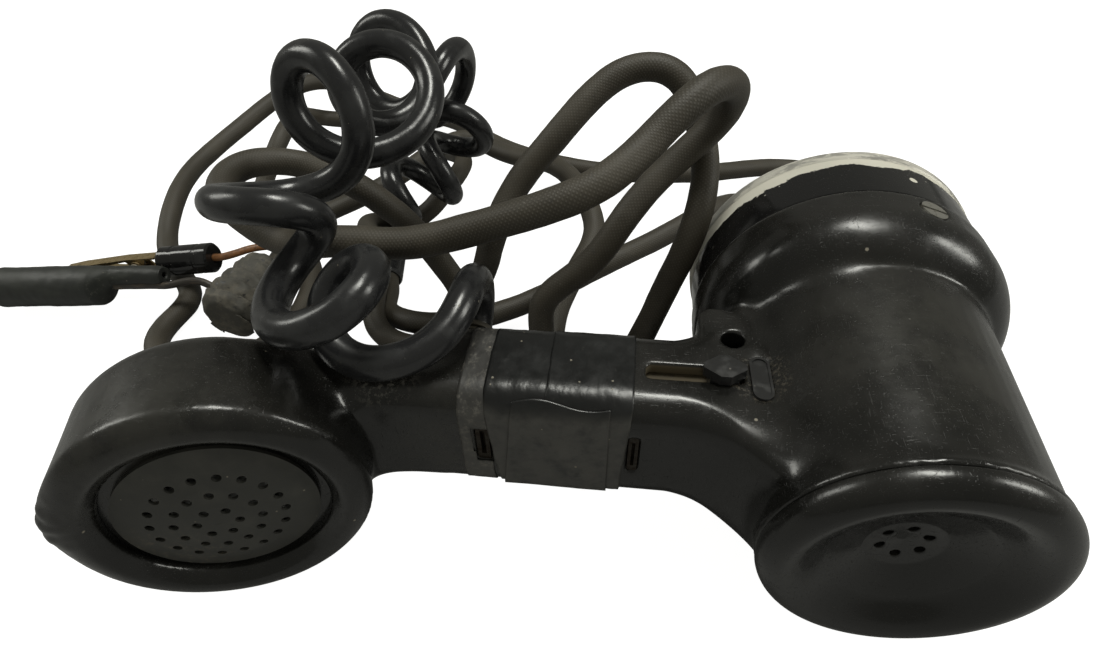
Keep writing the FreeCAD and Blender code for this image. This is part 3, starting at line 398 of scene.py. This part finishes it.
def coil_neoprene():
    look = Look("coil_neoprene", (0.0135, 0.0137, 0.0145), 0.24)
    look.paint(look.ramp(look.noise(8, 5), 0.45, 0.7), (0.021, 0.0215, 0.022), 0.33)
    look.paint(look.ramp(look.noise(2.2, 6, rough=0.7), 0.6, 0.75), roughness=0.42)
    dirt = look.ramp(look.noise(1.4, 6, rough=0.8), 0.6, 0.72)
    dirt = look.all_of(dirt, look.ramp(look.noise(14, 3), 0.5, 0.7))
    look.paint(look.math("MULTIPLY", dirt, 0.45), GREY_DUST, 0.7)
    look.paint(look.math("MULTIPLY", look.specks(3.4, 0.10), 0.5), DUST, 0.8)
    look.bump(look.noise(5, 2), 0.08)
    look.bump(look.noise(0.8, 3), 0.012)
    return look.done()


def cord_rubber():
    """Dull perished rubber that shows the braid under it."""
    look = Look("cord_rubber", (0.035, 0.030, 0.021), 0.56)
    look.paint(look.ramp(look.noise(18, 5), 0.4, 0.68), (0.050, 0.043, 0.031), 0.64)
    look.paint(look.ramp(look.noise(3, 6, rough=0.75), 0.56, 0.76), (0.026, 0.024, 0.021), 0.5)
    cord = around_cord(look)
    ribs = []
    for slope in (38, -38):
        bands = look.node("ShaderNodeTexWave", bands_direction="X")
        look.feed(bands.inputs["Vector"], look.scaled((1, 1, 1), (0, 0, slope), cord))
        bands.inputs["Scale"].default_value = 0.36
        bands.inputs["Distortion"].default_value = 0.4
        ribs.append(bands.outputs["Fac"])
    weave = look.math("MULTIPLY", *ribs)
    look.paint(look.math("MULTIPLY", look.ramp(weave, 0.2, 0.9), 0.35), (0.105, 0.096, 0.078), 0.62)
    look.bump(weave, 0.05)
    look.paint(look.math("MULTIPLY", look.specks(2.6, 0.12), 0.5), GREY_DUST, 0.8)
    look.bump(look.noise(3, 3), 0.05)
    return look.done()


def lead_brown():
    look = Look("lead_brown", (0.19, 0.085, 0.032), 0.45)
    look.paint(look.ramp(look.noise(1.6, 6, rough=0.7), 0.45, 0.68), (0.085, 0.04, 0.02), 0.6)
    look.bump(look.noise(0.6, 3), 0.02)
    return look.done()


def worn_lead():
    look = Look("worn_lead", (0.030, 0.026, 0.022), 0.4)
    look.paint(look.ramp(look.noise(1.8, 6, (0.3, 1, 1)), 0.5, 0.7), (0.09, 0.07, 0.05), 0.6)
    return look.done()


LOOKS = {
    "hard_rubber": hard_rubber(),
    "ring_paint": ring_paint(),
    "bezel_metal": bezel_metal(),
    "screw_steel": worn_steel("screw_steel"),
    "inner_steel": inner_metal("inner_steel", (0.45, 0.45, 0.44)),
    "brass": inner_metal("brass", (0.62, 0.47, 0.22)),
    "copper_wire": inner_metal("copper_wire", (0.60, 0.28, 0.14)),
    "inner_plastic": enamel("inner_plastic", (0.30, 0.24, 0.14), (0.14, 0.11, 0.07)),
    "wire_red": enamel("wire_red", (0.30, 0.035, 0.03), (0.12, 0.02, 0.02)),
    "number_enamel": enamel("number_enamel", (0.70, 0.68, 0.60), (0.42, 0.38, 0.28)),
    "card_paper": enamel("card_paper", (0.72, 0.69, 0.57), (0.5, 0.44, 0.32), 0.6),
    "wheel_plastic": moulded("wheel_plastic", (0.012, 0.012, 0.012), 0.2),
    "grid_metal": grid_metal(),
    "switch_plastic": moulded("switch_plastic"),
    "rusty_steel": rusty_steel(),
    "tape": vinyl_tape("tape", (0.0070, 0.0074, 0.0074), 0.28, 0.0),
    "tape_dusty": vinyl_tape("tape_dusty", (0.030, 0.029, 0.027), 0.45, 0.8),
    "clip_brass": clip_brass(),
    "clip_rivet": worn_steel("clip_rivet", (0.52, 0.47, 0.38)),
    "insulator_plastic": moulded("insulator_plastic", (0.009, 0.009, 0.009), 0.12),
    "boot_rubber": boot_rubber(),
    "coil_neoprene": coil_neoprene(),
    "cord_rubber": cord_rubber(),
    "friction_tape": friction_tape(),
    "slot_dust": enamel("slot_dust", SLOT_BROWN, (0.035, 0.028, 0.018), 0.8),
    "lead_brown": lead_brown(),
    "worn_lead": worn_lead(),
}


def dress(obj, look):
    """Gives an object one material, by its name in LOOKS."""
    obj.data.materials.clear()
    obj.data.materials.append(LOOKS[look])


slots = {row["node"]: row["material_slot"] for row in frame["record"]["subparts"]}
for name, obj in cad_nodes.items():
    dress(obj, slots[name])
dress(cad_nodes["black_lead"], "worn_lead")
dress(cad_nodes["switch_contact_plate"], "slot_dust")


# ---------------------------------------------------------------- mesh helpers
def linked(name, data):
    """A new object in the scene."""
    obj = bpy.data.objects.new(name, data)
    bpy.context.scene.collection.objects.link(obj)
    return obj


def new_piece(name, vertices, faces, body, look, replaced=()):
    """A mesh object made from mm coordinates, dressed, and riding on a body."""
    mesh = bpy.data.meshes.new(name)
    mesh.from_pydata([[c * MM for c in v] for v in vertices], [], faces)
    mesh.validate()
    obj = linked(name, mesh)
    mesh.polygons.foreach_set("use_smooth", [True] * len(mesh.polygons))
    dress(obj, look)
    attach(obj, body)
    for node in replaced:
        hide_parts(node)
    return obj


def read(collection, field, width):
    """One field of a mesh's elements as rows of numbers."""
    values = np.empty(len(collection) * width, np.float32)
    collection.foreach_get(field, values)
    return values.reshape(-1, width).astype(float)


def centreline(node, radius):
    """The middle line of a round cord's CAD mesh, in mm, as evenly spaced points from end to end.

    Each surface point, moved inwards by the radius, lands on the middle line. The triangles link those
    points, so the far end is the one that is the longest walk away, and so is the start from there.
    """
    mesh = cad_nodes[node].data
    place = read(mesh.vertices, "co", 3) / MM
    triangles = read(mesh.loops, "vertex_index", 1).astype(int).reshape(-1, 3)
    aim = np.zeros_like(place)
    aim[triangles.ravel()] = read(mesh.corner_normals, "vector", 3)
    ends = np.ptp(aim[triangles], axis=1).max(1) < 1e-5
    sides = triangles[~ends]
    weld = 0.002
    _, welded = np.unique(np.round(place / weld), axis=0, return_inverse=True)
    welded = welded.ravel()
    middle = np.zeros((welded.max() + 1, 3))
    middle[welded[sides.ravel()]] = (place - radius * aim)[sides.ravel()]
    links = {}
    for a, b, c in welded[sides]:
        for one, other in ((a, b), (b, c), (c, a)):
            if one != other:
                links.setdefault(one, set()).add(other)
                links.setdefault(other, set()).add(one)

    def walk(start):
        """How far each middle point is along the cord from a starting one."""
        far, queue = {start: 0.0}, [(0.0, start)]
        while queue:
            gone, here = heapq.heappop(queue)
            if gone > far[here]:
                continue
            for there in links[here]:
                reach = gone + math.dist(middle[here], middle[there])
                if reach < far.get(there, math.inf) - 1e-9:
                    far[there] = reach
                    heapq.heappush(queue, (reach, there))
        return far

    far = walk(welded[sides[0, 0]])
    far = walk(max(far, key=far.get))
    points = middle[list(far)]
    slice_length = 1.5
    box_of = (np.array(list(far.values())) / slice_length).astype(int)
    line = np.array([points[box_of == b].mean(0) for b in np.unique(box_of)])
    return even(line, 1.0)


def even(line, spacing):
    """The same line, lightly smoothed, with its points the same distance apart."""
    for _ in range(3):
        line[1:-1] = (line[:-2] + 2 * line[1:-1] + line[2:]) / 4
    length = np.concatenate([[0], np.cumsum(np.linalg.norm(np.diff(line, axis=0), axis=1))])
    stops = np.linspace(0, length[-1], max(2, round(length[-1] / spacing)))
    return np.stack([np.interp(stops, length, line[:, k]) for k in range(3)], axis=1)


def ring_faces(rings, sides):
    """Quads that join rings of points, each ring to the next."""
    pairs = [(i * sides + k, i * sides + (k + 1) % sides) for i in range(rings - 1) for k in range(sides)]
    return [(a, b, b + sides, a + sides) for a, b in pairs]


def swept(name, line, radius, body, look, replaced, sides, uneven):
    """A cord skinned along a line, uneven by a share of its radius, with mm along and round it as UVs."""
    aims = np.gradient(line, axis=0)
    aims /= np.linalg.norm(aims, axis=1)[:, None]
    side = Vector(aims[0]).orthogonal().normalized()
    vertices = []
    for point, aim in zip(line, aims):
        aim = Vector(aim)
        side = (side - aim * side.dot(aim)).normalized()
        other = aim.cross(side)
        for k in range(sides):
            turn = 2 * math.pi * k / sides
            out = side * math.cos(turn) + other * math.sin(turn)
            spot = Vector(point) + out * radius
            swell = uneven * noise.noise(spot / 9) + 0.4 * uneven * noise.noise(spot / 2.5)
            vertices.append(spot + out * radius * swell)
    count = len(line)
    faces = ring_faces(count, sides)
    faces.append(tuple(range(sides - 1, -1, -1)))
    faces.append(tuple((count - 1) * sides + k for k in range(sides)))
    obj = new_piece(name, vertices, faces, body, look, replaced)
    layer = obj.data.uv_layers.new(name="cord")
    step = 2 * math.pi * radius / sides
    uv = []
    for i in range(count - 1):
        for k in range(sides):
            uv += [i, k * step, i, (k + 1) * step, i + 1, (k + 1) * step, i + 1, k * step]
    uv += [0.0] * (4 * sides)
    layer.data.foreach_set("uv", uv)
    return obj


def voxel_copy(name, node, voxel):
    """A copy of a CAD node's form, with a modifier that remakes it in squares voxel mm across."""
    obj = linked(name, cad_nodes[node].data.copy())
    remesh = obj.modifiers.new("Remesh", "REMESH")
    remesh.mode, remesh.voxel_size, remesh.use_smooth_shade = "VOXEL", voxel * MM, True
    return obj


def soften(obj, rounds, group=""):
    """Adds a smoothing modifier, which acts on one vertex group or on all of the mesh."""
    smooth = obj.modifiers.new("Soften", "SMOOTH")
    smooth.factor, smooth.iterations, smooth.vertex_group = 0.5, rounds, group


def bake(obj):
    """Turns the object's modifiers into mesh, and returns its points in mm and their outward directions."""
    graph = bpy.context.evaluated_depsgraph_get()
    made = bpy.data.meshes.new_from_object(obj.evaluated_get(graph), depsgraph=graph)
    obj.modifiers.clear()
    obj.data = made
    made.name = obj.name
    return read(made.vertices, "co", 3) / MM, read(made.vertex_normals, "vector", 3)


def take_place(obj, moved, node, body, look):
    """Moves a baked skin's points to new places in mm, and lets it stand for its CAD node."""
    mesh = obj.data
    mesh.vertices.foreach_set("co", (moved * MM).astype(np.float32).ravel())
    mesh.polygons.foreach_set("use_smooth", [True] * len(mesh.polygons))
    mesh.update()
    dress(obj, look)
    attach(obj, body)
    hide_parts(node)


def ruffled(name, node, voxel, shape, body, look, smoothing):
    """A CAD node's form remade as one soft skin, then moved by shape(point, outward) in mm."""
    obj = voxel_copy(name, node, voxel)
    soften(obj, smoothing)
    place, outward = bake(obj)
    moved = np.array([shape(Vector(p), Vector(n)) for p, n in zip(place, outward)])
    take_place(obj, moved, node, body, look)


def smooth_step(value, low, high):
    """0 below low, 1 above high and eased between; numbers or arrays."""
    share = np.clip((value - low) / (high - low), 0.0, 1.0)
    return share * share * (3 - 2 * share)


def long_axis(node):
    """Middle and long direction of a node, in mm."""
    place = read(cad_nodes[node].data.vertices, "co", 3) / MM
    low, high = place.min(0), place.max(0)
    middle = (low + high) / 2
    _, _, ways = np.linalg.svd(place - place.mean(0), full_matrices=False)
    return Vector(middle), Vector(ways[0])


# ---------------------------------------------------------------- cords
CORD_RADIUS = 4.3
for cord, look, sides, uneven in (
    ("coil_cord", "coil_neoprene", 32, 0.02),
    ("rubber_cord", "cord_rubber", 28, 0.03),
):
    line = centreline(cord, CORD_RADIUS)
    swept(f"{cord}_skin", line, CORD_RADIUS, "handset", look, [cord], sides, uneven)


# ---------------------------------------------------------------- splice and boot
def wind_splice():
    """Friction tape wound round the cord joint: slanted laps, each a step above the last."""
    middle, axis = long_axis("splice_tape")
    if axis.y < 0:
        axis = -axis
    side = axis.cross(Vector((0, 0, 1))).normalized()
    up = side.cross(axis)
    lap_width, core = 6.4, 6.2

    def shape(point, outward):
        """Points on the outside rise with the lap they lie on; the ends and the core stay put."""
        arm = point - middle
        along = arm.dot(axis)
        across = arm - axis * along
        if across.length < core or outward.dot(across.normalized()) < 0.3:
            return point
        turn = math.atan2(across.dot(up), across.dot(side)) / (2 * math.pi)
        lap = ((along + 2.6 * math.sin(2 * math.pi * turn)) / lap_width + turn) % 1.0
        fold = 0.35 * noise.noise(Vector((along / 2.2, turn * 5, 3.0)))
        crease = 1.12 * noise.noise(point / 4.5)
        return point + across.normalized() * (1.9 * lap**0.7 - 0.7 + fold + crease)

    ruffled("splice_wraps", "splice_tape", 0.42, shape, "handset", "friction_tape", 3)


def soften_boot():
    """The rubber boot, a little dented, with an uneven rim and a neck pinched up against one side."""
    middle, axis = long_axis("clip_b_boot")
    if axis.x < 0:
        axis = -axis
    lift = Vector((0.0, 0.62, 0.78))
    lift = (lift - axis * lift.dot(axis)).normalized()

    def shape(point, outward):
        """The wide half keeps its girth; the neck is pinched up against its upper side."""
        arm = point - middle
        along = arm.dot(axis) + 0.6 * noise.noise(point / 6)
        across = arm - axis * arm.dot(axis)
        neck = smooth_step(along, 9.0, 15.5)
        girth = 1.0 + 0.2 * smooth_step(along, -34.0, 9.0)
        rim = 0.5 * noise.noise(Vector((point.y / 3, point.z / 3, 5.0))) * smooth_step(-along, 33.0, 37.0)
        moved = middle + axis * (arm.dot(axis) + rim)
        moved += across * (girth * (1 - neck) + 0.66 * neck) + lift * (3.9 * neck)
        swell = 0.30 * noise.noise(point / 11) + 0.12 * noise.noise(point / 3)
        return moved + outward * swell

    ruffled("clip_b_boot_skin", "clip_b_boot", 0.45, shape, "handset", "boot_rubber", 2)


wind_splice()
soften_boot()


# ---------------------------------------------------------------- moulded handle and ear cap
BARREL_RADIUS = 31.0
HOOK_HOLE_X, HOOK_HOLE_Y = -35.7, 45.4
WIRE_DUCT_Y = 35.0
CUP_X, CUP_Y, CUP_TILT = -152.3, -8.1, math.radians(21)
CUP_RADIUS, CUP_DEPTH = 34.2, 31.0


def barrel_joint(x, y, z):
    """1 where the grip meets the barrel, and 0 at the hook hole, the switch, the legend and the wire duct."""
    barrel = np.hypot(x, z)
    joint = smooth_step(11 - np.abs(barrel - BARREL_RADIUS), 0, 8)
    joint *= smooth_step(-x, 2, 12) * smooth_step(66 - y, 0, 6)
    joint *= smooth_step(barrel, 28.4, 29.6) * smooth_step(y, 1.0, 3.0)
    joint *= smooth_step(np.hypot(x - HOOK_HOLE_X, y - HOOK_HOLE_Y), 3.4, 6.0)
    joint *= 1 - (z > 8) * (np.abs(y - SWITCH_SLOT_Y) < 4.2) * (x < -33)
    legend = np.hypot((x - LEGEND_PLACE[0]) * 1.6, (y - LEGEND_PLACE[1]) * 0.8)
    joint *= 1 - (z > 12) * smooth_step(6.5 - legend, 0, 1.5)
    return joint * smooth_step(np.hypot(y - WIRE_DUCT_Y, z), 6, 9)


def cup_joint(x, y, z):
    """1 where the grip meets the transmitter cup's wall and back, and 0 inside the cup."""
    deep = -(x - CUP_X) * math.sin(CUP_TILT) + (y - CUP_Y) * math.cos(CUP_TILT)
    over = (x - CUP_X) * math.cos(CUP_TILT) + (y - CUP_Y) * math.sin(CUP_TILT)
    reach = np.hypot(over, z)
    wall = smooth_step(11 - np.abs(reach - CUP_RADIUS), 0, 8) * smooth_step(deep, 3, 9)
    back = smooth_step(11 - np.abs(deep - CUP_DEPTH), 0, 8) * smooth_step(reach, 6, 14)
    neck = np.maximum(wall, back) * smooth_step(over, 8, 18) * smooth_step(-106 - x, 0, 8)
    return neck * (1 - (reach < 26.5) * (deep < 28.4))


def blend_handle():
    """The moulding as one skin: the grip runs softly into barrel and cup, and the cup's rim has a burr."""
    obj = voxel_copy("handle_skin", "handle_shell", 0.75)
    place, _ = bake(obj)
    weight = np.maximum(barrel_joint(*place.T), cup_joint(*place.T))
    group = obj.vertex_groups.new(name="joints")
    for index in np.nonzero(weight > 0.02)[0]:
        group.add([int(index)], float(weight[index]), "REPLACE")
    soften(obj, 160, group.name)
    soften(obj, 3)
    place, outward = bake(obj)

    burr, burr_reach, burr_height = np.array((-184.6, -17.4, 9.0)), 5.2, 1.1
    far = np.linalg.norm((place - burr) * (1.0, 1.0, 0.62), axis=1)
    for index in np.nonzero(far < 2.5 * burr_reach)[0]:
        lump = burr_height * math.exp(-((far[index] / burr_reach) ** 2))
        place[index] += outward[index] * lump * (1 + 0.6 * noise.noise(Vector(place[index]) / 2.6))
    take_place(obj, place, "handle_shell", "handset", "hard_rubber")


def cap_dish(point, outward):
    """Carries the ear cap's dish up into its lip in one smooth sweep; the rest of the cap stays put."""
    dish_edge, lip_top = 17.0, 26.8
    dish_y, dish_slope, lip_y = -1.28, -0.427, -6.2
    share = (math.hypot(point.x, point.z) - dish_edge) / (lip_top - dish_edge)
    if outward.y > -0.2 or not 0 < share < 1:
        return point
    climb = (lip_y - dish_y) * share * share * (3 - 2 * share)
    carry = dish_slope * (lip_top - dish_edge) * share * (1 - share) ** 2
    return Vector((point.x, dish_y + climb + carry, point.z))


blend_handle()
ruffled("ear_cap_skin", "ear_cap", 0.25, cap_dish, "handset", "hard_rubber", 2)


# ---------------------------------------------------------------- tape round the grip
def grip_section(offset):
    """Points round the grip's rounded section, offset outwards: rows of y, z and the outward direction."""
    low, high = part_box("grip_tape_main")
    skin, corner, spacing, corner_steps = 0.7, 7.5, 0.7, 12
    bottom, top, half = low.y / MM + skin, high.y / MM - skin, high.z / MM - skin
    middle = (bottom + top) / 2
    reach_y, reach_z = (top - bottom) / 2 - corner, half - corner
    quarters = ((1, 1), (-1, 1), (-1, -1), (1, -1))
    rows = []
    for k, (side_y, side_z) in enumerate(quarters):
        start = (middle + side_y * reach_y, side_z * reach_z)
        rows += [(*start, math.pi / 2 * (k + i / corner_steps)) for i in range(corner_steps)]
        next_y, next_z = quarters[(k + 1) % 4]
        stop = (middle + next_y * reach_y, next_z * reach_z)
        steps = max(2, round(math.dist(start, stop) / spacing))
        for i in range(steps):
            y, z = (a + (b - a) * i / steps for a, b in zip(start, stop))
            rows.append((y, z, math.pi / 2 * (k + 1)))
    return [
        (y + math.cos(t) * (corner + offset), z + math.sin(t) * (corner + offset), math.cos(t), math.sin(t))
        for y, z, t in rows
    ]


def tape_wrap(name, start, stop, offset, look, replaced=(), lean=0.0, wrinkle=0.12, hole=None):
    """A closed band of tape round the grip from start to stop along X; hole(x, y, z) is left open."""
    section = grip_section(offset)
    half, row_width, ragged = 17.5, 0.6, 0.3
    rows = max(4, round((stop - start) / row_width)) + 1
    vertices = []
    for i in range(rows):
        share = i / (rows - 1)
        for y, z, out_y, out_z in section:
            edge = ragged * noise.noise(Vector((y / 5, z / 5, 7 + 3 * round(share)))) * abs(2 * share - 1)
            x = start + (stop - start) * share + lean * z / half + edge
            push = wrinkle * noise.noise(Vector((x / 3.5, y / 6, z / 6)))
            push += 0.5 * wrinkle * noise.noise(Vector((x / 1.2, y / 3, z / 3 + 9)))
            push = max(push, -0.6 * wrinkle)
            vertices.append((x, y + out_y * push, z + out_z * push))
    faces = ring_faces(rows, len(section))
    if hole:
        faces = [f for f in faces if not hole(*(sum(vertices[v][c] for v in f) / 4 for c in range(3)))]
    obj = new_piece(name, vertices, faces, "handset", look, replaced)
    thick = obj.modifiers.new("Thickness", "SOLIDIFY")
    thick.thickness, thick.offset = 0.18 * MM, -1


def strip_hole(x, y, z):
    """The strip is torn open over the lug's slot and round the cord's grommet."""
    over_slot = y < 26 and -5.5 < z < 7.5 and -98.4 < x < -93.2
    over_grommet = y > 40 and math.hypot(x + 104, z - 7) < 7.2
    return over_slot or over_grommet


strip_start, strip_stop = (corner.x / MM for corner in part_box("grip_tape_band"))
wrap_start, wrap_stop = (corner.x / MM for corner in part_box("grip_tape_main"))
tape_wrap("grip_tape_strip", strip_start, strip_stop, 0.30, "tape_dusty", ["grip_tape_band"], hole=strip_hole)
tape_wrap("grip_tape_wrap", wrap_start, wrap_stop - 6.5, 0.38, "tape", ["grip_tape_main"], lean=-1.6)
tape_wrap("grip_tape_second_lap", wrap_start + 12, wrap_stop, 0.62, "tape", lean=1.2, wrinkle=0.16)


def tape_square():
    """The loose square of tape on the front of the grip, puckered by what lies under it."""
    low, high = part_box("grip_tape_patch")
    x0, x1, z0, z1 = low.x / MM + 1.0, high.x / MM, low.z / MM + 0.8, high.z / MM - 0.3
    face_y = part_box("grip_tape_main")[0].y / MM - 0.22
    columns, rows, flat_half = 56, 68, 10.5
    vertices = []
    for j in range(rows + 1):
        for i in range(columns + 1):
            u, v = i / columns, j / rows
            x = x0 + (x1 - x0) * u + 1.6 * (v - 0.5) * (1 - u) * 2
            z = z0 + (z1 - z0) * v + 0.8 * math.sin(6 * u)
            edge = min(8 * min(u, 1 - u, v, 1 - v), 1.0)
            lump = 1.3 * math.exp(-(((u - 0.52) / 0.16) ** 2 + ((v - 0.55) / 0.13) ** 2))
            lump += 0.7 * math.exp(-(((u - 0.68) / 0.2) ** 2 + ((v - 0.28) / 0.08) ** 2))
            swirl = noise.noise(Vector((x / 5.0, 2.0, z / 4.0 + 0.6 * math.sin(x / 3))))
            y = face_y - edge * (0.25 + lump + 0.22 * max(swirl, -0.2))
            past_corner = max(abs(z) - flat_half, 0.0)
            vertices.append((x, y + 0.075 * past_corner**2, z))
    across = columns + 1
    faces = [
        (j * across + i, j * across + i + 1, (j + 1) * across + i + 1, (j + 1) * across + i)
        for j in range(rows)
        for i in range(columns)
    ]
    obj = new_piece("grip_tape_square", vertices, faces, "handset", "tape", ["grip_tape_patch"])
    thick = obj.modifiers.new("Thickness", "SOLIDIFY")
    thick.thickness, thick.offset = 0.2 * MM, 1


tape_square()


# ---------------------------------------------------------------- dial numbers
def dial_numbers():
    """The digits printed on the number plate, under the finger holes."""
    plate_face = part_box("number_plate")[1].y
    hole_circle, first_hole, hole_step = 26.6 * MM, 60, 30
    for index in range(10):
        text = bpy.data.curves.new(f"digit_{index}", "FONT")
        text.body = str((index + 1) % 10)
        text.size, text.align_x, text.align_y = 5.2 * MM, "CENTER", "CENTER"
        text.extrude = 0.05 * MM
        holder = linked(f"dial_digit_{index}", text)
        angle = math.radians(first_hole + hole_step * index)
        holder.location = (
            hole_circle * math.cos(angle),
            plate_face + 0.06 * MM,
            hole_circle * math.sin(angle),
        )
        holder.rotation_euler = (math.radians(90), 0, math.radians(180))
        text.materials.append(LOOKS["ring_paint"])
        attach(holder, "handset")


dial_numbers()


# ---------------------------------------------------------------- floor, light and camera
WHITE = (1.0, 1.0, 0.995, 1.0)


def lay_floor():
    """A plain pale floor: the camera sees it lit up to white, and the object sees it as grey paper."""
    floor_z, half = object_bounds()[0].z, 9.0
    corners = [(x * half, y * half, floor_z) for x, y in ((-1, -1), (1, -1), (1, 1), (-1, 1))]
    mesh = bpy.data.meshes.new("floor")
    mesh.from_pydata(corners, [], [(0, 1, 2, 3)])
    look = Look("floor_paper", (0.30, 0.30, 0.298), 0.9)
    mesh.materials.append(look.done())
    glow, seen = look.node("ShaderNodeEmission"), look.node("ShaderNodeLightPath")
    glow.inputs["Color"].default_value, glow.inputs["Strength"].default_value = WHITE, 0.96
    both, pick = look.node("ShaderNodeAddShader"), look.node("ShaderNodeMixShader")
    look.feed(both.inputs[0], look.shader.outputs[0])
    look.feed(both.inputs[1], glow.outputs[0])
    look.feed(pick.inputs[0], seen.outputs["Is Camera Ray"])
    look.feed(pick.inputs[1], look.shader.outputs[0])
    look.feed(pick.inputs[2], both.outputs[0])
    look.feed(look.nodes["Material Output"].inputs["Surface"], pick.outputs[0])
    linked("floor", mesh)


def hang_sky():
    """A dim warm room all round, which the camera sees as a white backdrop."""
    world = bpy.data.worlds.new("studio")
    world.use_nodes = True
    tree = world.node_tree
    sky = tree.nodes["Background"]
    sky.inputs["Color"].default_value, sky.inputs["Strength"].default_value = (1.0, 0.99, 0.88, 1.0), 0.19
    wall = tree.nodes.new("ShaderNodeBackground")
    seen = tree.nodes.new("ShaderNodeLightPath")
    pick = tree.nodes.new("ShaderNodeMixShader")
    wall.inputs["Color"].default_value = WHITE
    tree.links.new(seen.outputs["Is Camera Ray"], pick.inputs[0])
    tree.links.new(sky.outputs[0], pick.inputs[1])
    tree.links.new(wall.outputs[0], pick.inputs[2])
    tree.links.new(pick.outputs[0], tree.nodes["World Output"].inputs["Surface"])
    bpy.context.scene.world = world


def hang_lamps():
    """A soft key overhead, a softer one at each side, and a front one that leaves no highlights."""
    centre = Vector((-0.10, 0.06, 0.0))
    for name, place, width, height, power in (
        ("key", (0.08, 0.28, 1.40), 0.5, 0.28, 11.0),
        ("left", (-1.25, 0.25, 0.75), 0.3, 0.6, 4.0),
        ("right", (1.15, 0.10, 0.70), 0.25, 0.6, 5.0),
        ("front", (-0.1, -1.2, 0.9), 0.7, 0.3, 3.5),
    ):
        lamp = bpy.data.lights.new(name, "AREA")
        lamp.shape, lamp.size, lamp.size_y, lamp.energy = "RECTANGLE", width, height, power
        lamp.color = (1.0, 1.0, 0.93)
        obj = linked(name, lamp)
        obj.location = place
        obj.rotation_euler = (centre - Vector(place)).to_track_quat("-Z", "Y").to_euler()
        obj.visible_glossy = name != "front"


def place_camera():
    """A wide lens close above the transmitter, looking down across the grip."""
    right, up = Vector((0.9933, 0.1140, -0.0204)), Vector((-0.0626, 0.6767, 0.7336))
    ahead = Vector((-0.0975, 0.7274, -0.6792))
    data = bpy.data.cameras.new("camera")
    data.lens, data.sensor_width, data.clip_start = 21.6, 36.0, 0.01
    obj = linked("camera", data)
    turn = Matrix((right, up, -ahead)).transposed().to_4x4()
    obj.matrix_world = Matrix.Translation((-0.06534, -0.0799, 0.13208)) @ turn
    bpy.context.scene.camera = obj


lay_floor()
hang_sky()
hang_lamps()
place_camera()
bpy.context.scene.view_settings.view_transform = "Standard"
